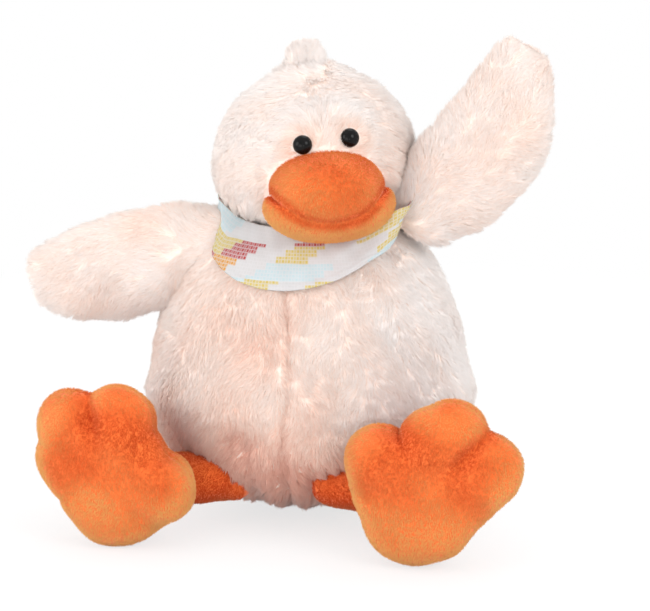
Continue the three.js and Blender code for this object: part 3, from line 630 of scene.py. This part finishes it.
def profile(form, inset, rows, sign):
    """Shares of the width and heights, from the pole to the widest level, evenly spaced."""
    wide = form["wide"] - inset
    reach = (form["up"] if sign > 0 else form["down"]) - inset
    root, power = form["upper"] if sign > 0 else form["lower"]
    share = np.sin(np.pi / 2 * np.linspace(0, 1, 600) ** 0.7)
    rise = np.maximum(0, 1 - share ** root) ** (1 / power)
    if sign > 0:
        share = share * (1 - form["taper"] * rise)
    height = sign * reach * rise
    steps = np.hypot(np.diff(share) * wide, np.diff(height))
    run = np.concatenate([[0], np.cumsum(steps)])
    want = np.linspace(0, run[-1], rows + 1)[1:]
    return np.interp(want, run, share), np.interp(want, run, height)


def swelling(form, inset, rows, around, centre_height=0.0):
    angle = circle(around)
    low_share, low_height = profile(form, inset, rows, -1)
    high_share, high_height = profile(form, inset, rows, 1)
    share = np.concatenate([low_share, high_share[::-1][1:]])
    height = np.concatenate([low_height, high_height[::-1][1:]]) + centre_height
    deep = np.where(np.sin(angle) < 0, form["front"] - inset, form["back"] - inset)
    x = np.outer(share, (form["wide"] - inset) * np.cos(angle))
    y = np.outer(share, deep * np.sin(angle))
    z = np.repeat(height[:, None], around, axis=1)
    low = (0, 0, inset - form["down"] + centre_height)
    high = (0, 0, form["up"] - inset + centre_height)
    return Skin(np.stack([x, y, z], -1), low, high)


TORSO_FORM = {
    "wide": TORSO_HALF_WIDTH, "front": TORSO_FRONT, "back": TORSO_BACK,
    "up": TORSO_HEIGHT - BELLY_HEIGHT, "down": BELLY_HEIGHT, "taper": TORSO_TAPER,
    "upper": (2, 5), "lower": (2, 2.1),
}
HEAD_FORM = {
    "wide": HEAD_HALF_WIDTH, "front": HEAD_FRONT, "back": HEAD_BACK,
    "up": HEAD_UP, "down": HEAD_DOWN, "taper": 0.04,
    "upper": (2, 2.05), "lower": (2.1, 2.2),
}


def belly_creases(p):
    """Depth of the front seam, of the dents above the legs and of the pinches down to the seat."""
    x, z = p[:, 0], p[:, 2]
    front = np.clip(-p[:, 1] / 20, 0, 1)
    seam = 2.4 * bell(x - (-2 + 6 * np.sin(z / 55)), 2.6)
    low = np.clip((58 - z) / 36, 0, 1)
    folds = sum(depth * bell(x - (at + lean * (z - 10)), 3.0) for at, lean, depth in BELLY_PINCHES)
    hollows = sum(depth * bell(np.hypot(x - at, z - up), wide) for at, up, wide, depth in BELLY_DENTS)
    return front * (seam + low * folds + hollows)


def head_bowl(points):
    """Pushes points out of the room that the head turns in."""
    off = points - HEAD_CENTRE
    reach = size_of(off * (1, 1, BOWL_REACH / BOWL_DROP))
    out = BOWL_REACH / np.maximum(reach, 1)
    inside = (reach < BOWL_REACH)[:, None] & (off[:, 2:] < 0)
    return np.where(inside, HEAD_CENTRE + off * out[:, None], points)


def build_torso():
    skin = swelling(TORSO_FORM, SKIN_DEPTH, rows=60, around=192, centre_height=BELLY_HEIGHT)
    skin.sink(belly_creases(skin.points) + 0.8 * smooth_noise(skin.points, 46, 3))
    skin.points = head_bowl(skin.points)
    body = skin_object("torso_skin", skin, CREAM_BACK)
    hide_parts("torso_cover", "torso_stuffing", "seat_pellet_bag")
    parts = [body]

    def tone_and_shade(p):
        # Painted shade: darker and pinker low on the belly front and in its creases. Painted light: lighter
        # on the right, and a little on the far left.
        low = np.clip((70 - p[:, 2]) / 52, 0, 1) * np.clip(-p[:, 1] / 40, 0, 1)
        right = 0.4 * np.clip((p[:, 0] - 10) / 60, -0.1, 1)
        left = 0.14 * np.clip((-p[:, 0] - 30) / 40, 0, 1)
        folds = 0.05 * np.minimum(belly_creases(p), 4)
        return (right + left) * (1 - low) - 0.62 * low - folds - 0.04

    def trim(p):
        inside = np.clip((size_of(p - HEAD_CENTRE) - 40) / 20, 0.35, 1)
        longer = 0.35 * np.clip((60 - p[:, 2]) / 30, 0, 1) - 0.85 * np.clip((16 - p[:, 2]) / 12, 0, 1)
        return inside * (1 + longer)

    for word, sign, seed in (("front", -1, 101), ("back", 1, 102)):
        for half, side in (("right", -1), ("left", 1)):

            def keep(p, sign=sign, side=side):
                return (p[:, 2] > SEAT_BARE) * (p[:, 1] * sign >= 0) * (p[:, 0] * side >= 0) * 1.0

            name = f"torso_pile_{word}_{half}"
            parts.append(pile(name, skin, CREAM, LONG_PILE, downward, seed + side, keep, tone_and_shade, trim))
    for part in parts:
        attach(part, "torso")


def build_neck():
    angle = circle(32)
    ring = np.stack([np.cos(angle), np.sin(angle), 0 * angle], -1)
    rows = np.array([radius * ring + (0, 0, height) for height, radius in NECK_LEVELS])
    foot = HEAD_CENTRE + (0, 0, NECK_LEVELS[0][0])
    skin = Skin(rows + HEAD_CENTRE, foot, HEAD_CENTRE + (0, 0, NECK_BALL))
    post = skin_object("neck_post", skin, CREAM_BACK)
    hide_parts("neck_stuffing")
    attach(post, "neck")


# Head


def ellipsoid(half, centre, rows, around):
    level = np.linspace(-np.pi / 2, np.pi / 2, rows + 2)[1:-1]
    angle = circle(around)
    x = half[0] * np.outer(np.cos(level), np.cos(angle))
    y = half[1] * np.outer(np.cos(level), np.sin(angle))
    z = half[2] * np.outer(np.sin(level), np.ones(around))
    pole = np.array([0, 0, half[2]])
    return Skin(np.stack([x, y, z], -1) + centre, centre - pole, centre + pole)


def eye_place(side):
    """Centre of an eye's rim and the way that it faces, in the head's frame."""
    x = side * EYE_SPACING / 2 + EYE_SIDEWAYS
    share = (1 - (EYE_HEIGHT / HEAD_UP) ** HEAD_FORM["upper"][1]) ** 0.5
    deep = HEAD_FRONT * share * (1 - HEAD_FORM["taper"] * EYE_HEIGHT / HEAD_UP)
    y = -deep * math.sqrt(1 - (x / (HEAD_HALF_WIDTH * share)) ** 2)
    face = unit(np.array([x / HEAD_HALF_WIDTH ** 2, y / HEAD_FRONT ** 2, EYE_HEIGHT / HEAD_UP ** 2]))
    return np.array([x, y, EYE_HEIGHT]), face


def face_flow(points):
    """Down the cheeks, away from the bill and up round the crest, in world space."""
    away = points - head_to_world(BILL_CENTRE)
    near = bell(size_of(away), 42.0)[:, None]
    top = head_to_world(np.array([0.0, 0.0, HEAD_UP + 18])) - points
    crest = bell(size_of(top[:, :2]), 13.0)[:, None] * (top[:, 2] < 40)[:, None]
    whorl = unit(np.cross((0, 0, 1), top)) * crest
    down = np.array([0.0, 0.1, -1.0]) * (1 - near) * (1 - crest)
    return down + unit(away) * near * 1.6 + unit(top) * crest * 1.6 + whorl


def cheek_folds(local):
    """Depth of the crease round each cheek and of a short one beside the right eye."""
    x, y, z = local.T
    front = (y < 0) * 1.0
    round_cheeks = 2.0 * bell(np.abs(x) - 33, 4) * bell(z + 4, 16)
    temple = 1.8 * bell(z - 20 + 0.5 * (x + 26), 2.6) * bell(x + 27, 8)
    return front * (round_cheeks + temple)


def build_head():
    skin = swelling(HEAD_FORM, SKIN_DEPTH, rows=40, around=128)
    knob = np.hypot((skin.points[:, 0] - 1) / 17, skin.points[:, 1] / 13)
    rise = 6.5 * np.exp(-knob ** 1.6) * (skin.points[:, 2] > 0)
    skin.sink(0.9 * smooth_noise(skin.points, 40, 31) + cheek_folds(skin.points) - rise)
    skin.points = head_to_world(skin.points)
    body = skin_object("head_skin", skin, CREAM_BACK)
    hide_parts("head_cover", "head_stuffing")
    eyes = [head_to_world(eye_place(side)[0]) for side in (-1, 1)]

    def from_eyes(p):
        return np.minimum(*[size_of(p - eye) for eye in eyes]) - EYE_RADIUS

    def open_face(p):
        local = head_to_local(p)
        bill = from_upper_bill(local) > 0.2
        lip = (from_lip(local) > 0.4) | (local[:, 2] > LIP_CORNER_HEIGHT + 2)
        return bill & lip & (from_eyes(p) > 0.4)

    def trim(p):
        from_bill = size_of(head_to_local(p) - BILL_CENTRE) - 28
        near = np.minimum(from_eyes(p) / 12, from_bill / 20)
        hang = 0.6 * np.clip((186 - p[:, 2]) / 14, 0, 1)
        return np.clip(0.85 + near, 0.85, 1) + hang

    def tone_and_shade(p):
        local = head_to_local(p)
        # Painted shade: darker on the left cheek beside the raised wing, round the eyes and in the cheek
        # creases; lighter towards the top.
        cheek_shade = bell(size_of(local - (38, -30, -8)), 16)
        eye_rim_shade = 0.3 * np.clip(1 - from_eyes(p) / 9, 0, 1)
        up = 0.1 * np.clip(local[:, 2] / 50, -1, 1)
        return 0.16 + up - 0.05 * cheek_folds(local) - 0.2 * cheek_shade - eye_rim_shade

    parts = [body]
    for word, sign, seed in (("front", -1, 201), ("back", 1, 202)):

        def keep(p, sign=sign):
            return open_face(p) * ((p[:, 1] - HEAD_CENTRE[1]) * sign >= 0) * 1.0

        parts.append(pile(f"head_pile_{word}", skin, CREAM, LONG_PILE, face_flow, seed, keep, tone_and_shade, trim))
    for part in parts:
        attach(part, "head")
    build_crest()
    build_eyes()
    build_bill()


def build_crest():
    """Two soft lobes that run into each other."""
    base = head_to_world(np.array([0.0, 0.0, HEAD_UP - 14.0]))

    def flow(p):
        return np.array([0.1, 0.0, 1.0]) + 0.2 * unit(p - base)

    def keep(p):
        return (p[:, 2] > HEAD_CENTRE[2] + HEAD_UP - 12) * 1.0

    for word, x, rise, wide, tall in CREST_LOBES:
        half = np.array([wide, 6.0, tall])
        skin = ellipsoid(half, np.array([x, 0, HEAD_UP + rise]), rows=18, around=36)
        skin.points = head_to_world(skin.points)
        lobe = skin_object(f"crest_skin_{word}", skin, CREAM_BACK)
        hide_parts("crest_tuft")
        seed = int(300 + wide)
        tuft = pile(f"crest_pile_{word}", skin, CREAM, CREST_PILE, flow, seed, keep, lambda p: 0.25)
        for part in (lobe, tuft):
            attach(part, "head")


def build_eyes():
    for side, word in ((-1, "right"), (1, "left")):
        centre, face = eye_place(side)
        turn = np.array(Vector((0, 0, 1)).rotation_difference(Vector(face)).to_matrix())
        angle = circle(48)
        radius, rise = EYE_RADIUS - EYE_INSET, EYE_RISE - EYE_INSET
        shape = [(radius * 0.9, -EYE_RIM), (radius, -1.0)]
        shape += [(radius * math.cos(a), rise * math.sin(a)) for a in np.linspace(0, 1.5, 14)]
        rows = np.array([[(r * math.cos(a), r * math.sin(a), z) for a in angle] for r, z in shape])
        skin = Skin(rows, (0, 0, -EYE_RIM), (0, 0, rise))
        skin.points = head_to_world(skin.points @ turn.T + centre)
        eye = skin_object(f"eye_dome_{word}", skin, EYE)
        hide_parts(f"eye_{word}")
        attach(eye, "head")
        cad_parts[f"eye_washer_{word}"].material_slots[0].material = WASHER


def upper_bill_skin(inset):
    """An ellipsoid that is fuller underneath, where it overhangs the lip."""
    skin = ellipsoid(BILL_HALF - inset, BILL_CENTRE, rows=64, around=108)
    off = skin.points - BILL_CENTRE
    share = np.clip(-off[:, 2] / (BILL_HALF[2] - inset), 0, 1)
    ring = np.maximum(np.sqrt(1 - share ** 2), 1e-6)
    power = 2 / BILL_SQUARE
    low = share > 0
    fuller = np.where(low, ring ** power / ring, 1.0)
    off[:, :2] *= fuller[:, None]
    off[:, 2] = np.where(low, -(BILL_DROP - inset) * share ** power, off[:, 2])
    skin.points = BILL_CENTRE + off
    return skin


def from_upper_bill(local):
    """Roughly how far points lie outside the upper bill."""
    local = local - BILL_SLOPE * local[:, :1] * (0, 0, 1)
    off = np.abs(local - BILL_CENTRE)
    below = local[:, 2] < BILL_CENTRE[2]
    tall = np.where(below, BILL_DROP, BILL_HALF[2])
    power = np.where(below, BILL_SQUARE, 2.0)
    ring = np.hypot(off[:, 0] / BILL_HALF[0], off[:, 1] / BILL_HALF[1])
    return ((ring ** power + (off[:, 2] / tall) ** power) ** (1 / power) - 1) * 26


def from_lip(local):
    local = local - BILL_SLOPE * local[:, :1] * (0, 0, 1)
    return (size_of((local - LIP_CENTRE) / LIP_HALF) - 1) * 24


def build_bill():
    upper = upper_bill_skin(SHORT_SKIN_DEPTH)
    lower = ellipsoid(LIP_HALF - SHORT_SKIN_DEPTH, LIP_CENTRE, rows=64, around=108)
    share = (lower.points[:, 0] / LIP_HALF[0]) ** 2
    smile = LIP_MIDDLE_HEIGHT + (LIP_CORNER_HEIGHT - LIP_MIDDLE_HEIGHT) * share
    lower.points[:, 2] = soft_below(lower.points[:, 2], smile, 2.6)
    pieces = (
        ("bill_upper", upper, ("bill_upper_cover", "bill_upper_stuffing"), from_lip, 401),
        ("bill_lower", lower, ("bill_lower_cover", "bill_lower_stuffing"), from_upper_bill, 402),
    )
    for name, skin, nodes, from_other, seed in pieces:
        skin.points[:, 2] += BILL_SLOPE * skin.points[:, 0]
        skin.points = head_to_world(skin.points)
        body = skin_object(f"{name}_skin", skin, ORANGE_BACK)
        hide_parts(*nodes)

        def keep(p, from_other=from_other):
            local = head_to_local(p)
            return (size_of(local * (1, 1, 1.1)) > 43) * (from_other(local) > -1.2) * 1.0

        def tone_and_shade(p, from_other=from_other, lip=name == "bill_lower"):
            local = head_to_local(p)
            # Painted shade along the mouth, where upper bill and lip meet; the lip is painted lighter away
            # from it, painted light on its lower rim.
            mouth_shade = bell(from_other(local), 1.3)
            rim_light = 0.26 * np.clip(from_other(local) / 3, 0, 1) if lip else 0.0
            return rim_light + 0.14 - 0.4 * mouth_shade

        hair = pile(f"{name}_pile", skin, ORANGE, BILL_PILE, forward, seed, keep, tone_and_shade)
        for part in (body, hair):
            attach(part, "head")


# Wings


def wing_place(wing, along, up, deep):
    turn = math.radians(wing["swing"])
    x = wing["shoulder"][0] + wing["side"] * (along * math.cos(turn) - up * math.sin(turn))
    z = wing["shoulder"][2] + along * math.sin(turn) + up * math.cos(turn)
    return np.stack([x, wing["shoulder"][1] + deep, z], -1)


def build_wing(word, wing):
    inset = SKIN_DEPTH
    length, start = wing["length"] - inset, inset - WING_ROOT_DEPTH - wing["tuck"]
    angle = (np.pi * np.arange(1, 72) / 72)[:, None]
    share = (1 - np.cos(angle)) / 2
    along = start + (length - start) * share
    part = np.clip(along / wing["length"], 0, 1)
    curl = -wing["sag"] * part * (1 - part)
    full = wing["root"] * (1 - share) + wing["tip"] * share + wing["swell"] * np.sin(np.pi * share)
    close = np.sin(angle) ** np.where(share < 0.5, wing["blunt"], 0.52)
    around = circle(88)[None]
    up = curl + (full - inset) * close * np.cos(around)
    deep = (WING_HALF_THICK - inset) * close * np.sin(around)
    rows = wing_place(wing, along + 0 * around, up, deep)
    end = length / wing["length"]
    last = wing_place(wing, length, -wing["sag"] * end * (1 - end), 0.0)
    skin = Skin(rows, wing_place(wing, start, 0.0, 0.0), last)
    skin.sink(0.8 * smooth_noise(skin.points, 34, 41))
    tip = wing_place(wing, wing["length"], 0.0, 0.0)
    shoulder = np.array(wing["shoulder"])
    reach = unit(tip - shoulder)
    body = skin_object(f"wing_{word}_skin", skin, CREAM_BACK)
    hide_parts(f"wing_{word}_cover", f"wing_{word}_stuffing")

    def flow(p):
        return 0.9 * reach + np.array([0, 0.45, -0.25])

    def keep(p):
        return (torso_gap(p) > -3.0) * (from_head(p) > -2.0) * 1.0

    def tone_and_shade(p):
        # Lighter lower down: painted light from below.
        return 0.1 + 0.1 * np.clip((shoulder[2] - p[:, 2]) / 50, 0, 1)

    def trim(p):
        return np.clip(size_of(p - tip) / 14, 0.45, 1)

    hair = pile(f"wing_{word}_pile", skin, CREAM, LONG_PILE, flow, 500 + wing["side"], keep, tone_and_shade, trim)
    for piece in (body, hair):
        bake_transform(piece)


def from_head(p):
    """Roughly how far points lie outside the head."""
    x, y, z = head_to_local(p).T
    deep = np.where(y < 0, HEAD_FRONT, HEAD_BACK)
    tall = np.where(z < 0, HEAD_DOWN, HEAD_UP)
    return (np.sqrt((x / HEAD_HALF_WIDTH) ** 2 + (y / deep) ** 2 + (z / tall) ** 2) - 1) * 50


def torso_share(height):
    """The torso's width at a height, as a share of its full width."""
    rise = np.clip((height - BELLY_HEIGHT) / TORSO_FORM["up"], -1, 1)
    above = np.maximum(rise, 0)
    up = np.clip(1 - above ** TORSO_FORM["upper"][1], 0, 1) ** 0.5 * (1 - TORSO_TAPER * above)
    down = np.clip(1 - np.abs(rise) ** TORSO_FORM["lower"][1], 0, 1) ** 0.5
    return np.where(rise > 0, up, down)


def torso_gap(p):
    """Roughly how far points lie outside the torso."""
    deep = np.where(p[:, 1] < 0, TORSO_FRONT, TORSO_BACK)
    return (np.hypot(p[:, 0] / TORSO_HALF_WIDTH, p[:, 1] / deep) - torso_share(p[:, 2])) * 85


# Legs and feet


def build_leg(word, side, root):
    """A tube that starts at a root inside the belly."""
    hip, ankle = HIP * (side, 1, 1), ANKLE * (side, 1, 1)
    along = ankle - root
    length = np.linalg.norm(along)
    axis = along / length
    first = unit(np.cross(axis, (0, 0, 1)))
    second = np.cross(axis, first)
    angle = circle(56)
    radius = LEG_RADIUS - SHORT_SKIN_DEPTH
    bends = np.linspace(0.15, 1.4, 8)
    stations = [(radius * -math.cos(a), radius * math.sin(a)) for a in bends]
    stations += [(length * s, radius + 1.2 * math.sin(math.pi * s)) for s in np.linspace(0, 1, 24)]
    stations += [(length + radius * math.sin(a), radius * math.cos(a)) for a in bends]
    ring = np.cos(angle)[:, None] * first + np.sin(angle)[:, None] * second
    rows = np.array([root + axis * at + ring * wide for at, wide in stations])
    skin = Skin(rows, root - axis * radius, root + axis * (length + radius))
    skin.sink(0.8 * smooth_noise(skin.points, 17, 61))
    skin.points[:, 2] = np.maximum(skin.points[:, 2], BACKING_CLEAR)
    body = skin_object(f"leg_{word}_skin", skin, ORANGE_BACK)
    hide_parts(f"leg_{word}_cover", f"leg_{word}_stuffing")

    def flow(p):
        return axis - np.array([0, 0, 0.5])

    def keep(p):
        return (torso_gap(p) > -14.0) * 1.0

    hair = pile(f"leg_{word}_pile", skin, ORANGE, SHORT_PILE, flow, 600 + side, keep, lambda p: -0.5)
    for piece in (body, hair):
        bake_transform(piece)


def lobe_reach(lobe, angle):
    """How far a round lobe, given as its angle, reach and radius, stands out at each angle."""
    turn, reach, radius = lobe
    off = angle - math.radians(turn)
    inside = radius ** 2 - (reach * np.sin(off)) ** 2
    far = np.where(inside > 0, reach * np.cos(off) + np.sqrt(np.maximum(inside, 0)), 0)
    return np.maximum(far, 0)


def between(first, second, share):
    """The round lobe that lies at a share of the way from one lobe to another."""
    spots = [reach * np.exp(1j * math.radians(turn)) for turn, reach, _ in (first, second)]
    spot = spots[0] + (spots[1] - spots[0]) * share
    return math.degrees(np.angle(spot)), abs(spot), first[2] + (second[2] - first[2]) * share


def foot_reach(foot, angle):
    """How far the foot's outline lies from its middle at each angle."""
    middle_more, outer_more, inner_more = foot["longer"]
    outer = (foot["outer"], OUTER_TOE_REACH + outer_more, OUTER_TOE_RADIUS)
    inner = (foot["inner"], TOE_REACH + inner_more, TOE_RADIUS)
    heel = (HEEL_ANGLE, HEEL_REACH, HEEL_RADIUS)
    palm = (0.0, 0.0, PALM_RADIUS)
    lobes = [(0.0, TOE_REACH + middle_more, TOE_RADIUS), outer, inner, heel, palm]
    sharp = 16
    total = sum((lobe_reach(lobe, angle) / HEEL_RADIUS) ** sharp for lobe in lobes)
    reach = HEEL_RADIUS * total ** (1 / sharp)
    # The outer and inner toe run into the sole in a straight line.
    webs = [foot["fuller"]]
    for share in (0.25, 0.5, 0.75):
        webs += [between(outer, palm, share), between(inner, heel, share)]
    for web in webs:
        reach = np.maximum(reach, lobe_reach(web, angle))
    return reach


def build_foot(word, foot):
    side, inset = foot["side"], SHORT_SKIN_DEPTH
    angle = circle(168)
    heading = math.radians(90 - foot["lean"]) - side * angle
    outline = foot_reach(foot, angle)
    middle_height = (-outline * np.sin(heading)).max() - SEAT_CUT
    middle = np.array([side * FOOT_FROM_MIDDLE, -FOOT_FORWARD, middle_height])
    level = -np.pi / 2 + np.pi * np.arange(1, 60) / 60
    share = np.cos(level) ** 0.62
    deep = (FOOT_HALF_THICK - inset) * np.sign(level) * np.abs(np.sin(level)) ** 0.9
    out = np.outer(share, outline - inset)
    # Creases run from between the toes into the palm, on both faces.
    crease = np.zeros_like(out)
    creases = [
        (foot["outer"] / 2, 7.0, 24, 5),
        (foot["inner"] / 2, 3.5, 20, 8),
        (foot["inner"] - 30, 2.0, 26, 5),
    ]
    for turn, depth, near, wide in creases:
        off = np.angle(np.exp(1j * (angle - math.radians(turn))))
        fade = 1 / (1 + np.exp(-(out - near) / 5))
        crease += depth * bell(off * out, wide) * fade * (np.abs(off) < 1.2)
    palm = 1.8 * bell(out, 15)
    away = np.abs(np.sin(level))[:, None] ** 0.7
    depth = deep[:, None] - np.sign(deep)[:, None] * away * (crease + palm)
    x = middle[0] + out * np.cos(heading)
    z = middle[2] + out * np.sin(heading)
    rows = np.stack([x, middle[1] + depth, z], -1)
    thick = FOOT_HALF_THICK - inset - 1.6
    skin = Skin(rows, middle - (0, thick, 0), middle + (0, thick, 0))
    seam = 0.7 * bell(skin.points[:, 1] - middle[1], 1.2)
    hollow = np.concatenate([[0], crease.ravel(), [0]])
    skin.sink(0.6 * smooth_noise(skin.points, 24, 71) + seam)
    skin.points[:, 2] = np.maximum(skin.points[:, 2], BACKING_CLEAR)
    body = skin_object(f"foot_{word}_skin", skin, ORANGE_BACK)
    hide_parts(f"foot_{word}_cover", f"foot_{word}_stuffing")

    def tone_and_shade(p):
        # Painted light: lighter towards the bottom and round the rim, as sheen. Painted shade: darker in the
        # creases.
        off = p - middle
        far = np.hypot(off[:, 0], off[:, 2])
        low = 0.4 * np.clip((5 - off[:, 2]) / 30, -0.5, 1)
        rim_light = 0.5 * np.clip((far - 32) / 12, 0, 1)
        return low + rim_light - 0.06 * hollow[nearest(skin.points, p)] + 0.08 * smooth_noise(p, 24.0, 77) + 0.02

    hair = pile(f"foot_{word}_pile", skin, ORANGE, SHORT_PILE, forward, 700 + side, everywhere, tone_and_shade)
    for piece in (body, hair):
        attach(piece, f"foot_{word}")


# Neckerchief


def cloth_inner(height, angle):
    """Half width of the torso or of the head's room, where that is more, and some ease."""
    deep = np.where(np.sin(angle) < 0, TORSO_FRONT, TORSO_BACK)
    torso = torso_share(height) / np.hypot(np.cos(angle) / TORSO_HALF_WIDTH, np.sin(angle) / deep)
    drop = np.clip((HEAD_CENTRE[2] - height) / BOWL_DROP, -1, 1)
    bowl = BOWL_REACH * np.sqrt(1 - np.maximum(drop, 0) ** 2)
    along = HEAD_CENTRE[0] * np.cos(angle) + HEAD_CENTRE[1] * np.sin(angle)
    off = math.hypot(HEAD_CENTRE[0], HEAD_CENTRE[1])
    past = along + np.sqrt(np.maximum(0, bowl ** 2 - off ** 2 + along ** 2))
    return np.maximum(torso, past) + CLOTH_EASE


def cloth_edges(angle):
    """Heights of the upper and lower edge: it rises round the sides and stands up beside the bill."""

    def edge(front, back):
        return TORSO_HEIGHT - back - (front - back) * ((1 - np.sin(angle)) / 2) ** 1.5

    turn = np.degrees(np.angle(np.exp(1j * angle)))
    lobe = smooth_step(turn, -52, -34) * (1 - smooth_step(turn, -22, 6))
    behind = np.where(turn > 0, 360 - turn, -turn)
    over = smooth_step(behind, 132, 150) * (1 - smooth_step(behind, 190, 250))
    high = edge(CLOTH_FRONT_HIGH, CLOTH_BACK_HIGH) + CLOTH_LOBE * lobe + CLOTH_RISE * over
    off = np.abs(np.angle(np.exp(1j * (angle - math.radians(-86)))))
    lift = CLOTH_SIDE_LIFT * np.sin(np.minimum(0.9 * off, math.pi / 2)) ** 2
    low = edge(CLOTH_FRONT_LOW, CLOTH_BACK_LOW) + CLOTH_SLANT * np.cos(angle) + lift + 12 * over
    flare = CLOTH_FLARE * bell(turn + 34, 12) + 2 * lobe
    return high, soft_below(low, high - CLOTH_SIDE_WIDTH, 1.5), flare


def build_neckerchief():
    around, rows = 330, 36
    angle = circle(around)[None]
    down = np.linspace(0, 1, rows)[:, None]
    high, low, flare = cloth_edges(angle)
    height = high + (low - high) * down
    top = cloth_inner(high, angle)
    span = top + (cloth_inner(low, angle) - top) * down
    fold = CLOTH_FOLD * (0.5 + 0.5 * np.sin(CLOTH_FOLDS * angle + 2 * down)) * (0.3 + 0.7 * down)
    middle = np.sin(np.pi * down)
    swags = 0.8 * np.sin(4 * angle + 6 * down) ** 2 * middle
    crumple = 0.35 * np.sin(19 * angle + 5 * down) * middle + 0.2 * np.sin(31 * angle - 7 * down)
    inner = np.maximum(cloth_inner(height, angle), span) + fold + swags + crumple + CLOTH_OFF + flare
    from_edge = (1 - down) * (high - low)
    hem = 0.45 * bell(from_edge - 2.6, 0.5) - 0.3 * bell(from_edge - 3.4, 0.4)
    outer, back = (
        np.stack([reach * np.cos(angle), reach * np.sin(angle), height], -1)
        for reach in (inner + (CLOTH_THICK - CLOTH_OFF + hem), inner)
    )
    points = np.concatenate([outer, back[::-1]])
    total = len(points)
    grid = np.arange(total * around).reshape(total, around)
    nexts = np.roll(grid, -1, axis=0)
    faces = np.stack([grid, nexts, np.roll(nexts, -1, axis=1), np.roll(grid, -1, axis=1)], -1).reshape(-1, 4)
    cloth = mesh_object("neckerchief_cloth", points.reshape(-1, 3), [faces], COTTON)
    flat_across = (angle + 0 * down) / (2 * np.pi)
    tall = (high - low) * down * 1.15
    u = np.concatenate([flat_across, flat_across[::-1]])
    v = np.concatenate([tall / CLOTH_MAP_TALL, 0.5 + tall[::-1] / CLOTH_MAP_TALL])
    wrap = faces.reshape(-1)
    columns = (wrap % around).reshape(-1, 4)
    jump = (columns.max(1) - columns.min(1) > 1)[:, None] & (columns == 0)
    lay_map(cloth, np.stack([(u.ravel()[wrap] + jump.ravel() * 1.0) * 0.99, v.ravel()[wrap]], -1))
    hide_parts("neckerchief")
    knot = build_knot()
    for piece in (cloth, knot):
        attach(piece, "torso")


def build_knot():
    """The tied ends at the back, wound once round themselves."""
    height = TORSO_HEIGHT - (CLOTH_BACK_HIGH + CLOTH_BACK_LOW) / 2
    back = cloth_inner(height, math.pi / 2) + CLOTH_THICK + CLOTH_FOLD
    centre = np.array([0, back + KNOT_HALF[2] / 2, height])
    skin = ellipsoid(KNOT_HALF - 0.5, centre, rows=40, around=64)
    off = (skin.points - centre) / KNOT_HALF
    turn = np.arctan2(off[:, 1], off[:, 2])
    groove = 0.9 * bell(np.sin(9 * off[:, 0] + 1.3 * np.sin(turn)), 0.35)
    waist = 1.2 * bell(np.abs(off[:, 0]) - 0.45, 0.12)
    skin.sink(groove + waist)
    knot = skin_object("neckerchief_knot", skin, COTTON)
    corners = np.concatenate([skin.quads.ravel(), skin.caps.ravel()])
    flat = off * KNOT_HALF
    places = np.stack([0.5 + flat[:, 0] / CLOTH_MAP_WIDE, 0.3 + flat[:, 2] / CLOTH_MAP_TALL], -1)
    lay_map(knot, places[corners])
    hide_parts("neckerchief")
    return knot


build_torso()
build_neck()
build_head()
build_wing("right", WING_RIGHT)
build_wing("left", WING_LEFT)
build_leg("right", -1, LEG_RIGHT_ROOT)
build_leg("left", 1, LEG_LEFT_ROOT)
build_foot("right", FOOT_RIGHT)
build_foot("left", FOOT_LEFT)
build_neckerchief()


# Stage, lamps and camera


def seen_rays(tree):
    """One for what the camera sees straight, in a reflection or through something clear."""
    path = add_node(tree, "ShaderNodeLightPath", {})
    ray = path.outputs["Is Camera Ray"]
    for kind in ("Is Glossy Ray", "Is Transmission Ray"):
        ray = math_node(tree, "MAXIMUM", ray, path.outputs[kind])
    return ray


def build_stage():
    bpy.ops.mesh.primitive_grid_add(x_subdivisions=4, y_subdivisions=4, size=FLOOR_SIZE)
    floor = bpy.context.object
    floor.name = "floor"
    material, tree, shader = new_material("floor_white")
    feed(tree, shader, {"Base Color": (0.95, 0.95, 0.95, 1), "Roughness": 0.95, "Specular IOR Level": 0.1})
    place = add_node(tree, "ShaderNodeTexCoord", {}).outputs["Object"]
    far = add_node(tree, "ShaderNodeVectorMath", {0: place}, operation="LENGTH").outputs["Value"]
    spread = range_node(tree, far, 0.72, 1.0, low=0.2, high=0.7)
    mix = add_node(tree, "ShaderNodeMixShader", {
        "Fac": math_node(tree, "MULTIPLY", seen_rays(tree), spread),
        1: shader.outputs["BSDF"],
        2: add_node(tree, "ShaderNodeEmission", {"Color": (1, 1, 1, 1)}).outputs["Emission"],
    })
    feed(tree, tree.nodes["Material Output"], {"Surface": mix.outputs["Shader"]})
    floor.data.materials.clear()
    floor.data.materials.append(material)


def aimed(name, data, place, way):
    """A lamp or camera at a place, turned to look a way."""
    holder = bpy.data.objects.new(name, data)
    holder.location = place
    holder.rotation_euler = way.to_track_quat("-Z", "Y").to_euler()
    bpy.context.scene.collection.objects.link(holder)
    return holder


def build_lights():
    world = bpy.data.worlds.new("studio")
    bpy.context.scene.world = world
    world.use_nodes = True
    tree = world.node_tree
    strength = range_node(tree, seen_rays(tree), 1.02, 1.0)
    feed(tree, tree.nodes["Background"], {"Color": (1, 1, 1, 1), "Strength": strength})
    for name, place, target, size, power in LAMPS:
        lamp = bpy.data.lights.new(name, "AREA")
        lamp.shape, lamp.size, lamp.energy = "DISK", size, power
        aimed(name, lamp, place, Vector(target) - Vector(place))


def build_camera():
    data = bpy.data.cameras.new("camera")
    data.lens, data.sensor_width = LENS, SENSOR_WIDTH
    a, e = math.radians(CAMERA_AZIMUTH), math.radians(CAMERA_ELEVATION)
    back = Vector((math.sin(a) * math.cos(e), -math.cos(a) * math.cos(e), math.sin(e)))
    camera = aimed("camera", data, CAMERA_TARGET + back * CAMERA_DISTANCE, -back)
    bpy.context.scene.camera = camera


build_stage()
build_lights()
build_camera()
bpy.context.scene.view_settings.view_transform = "Standard"
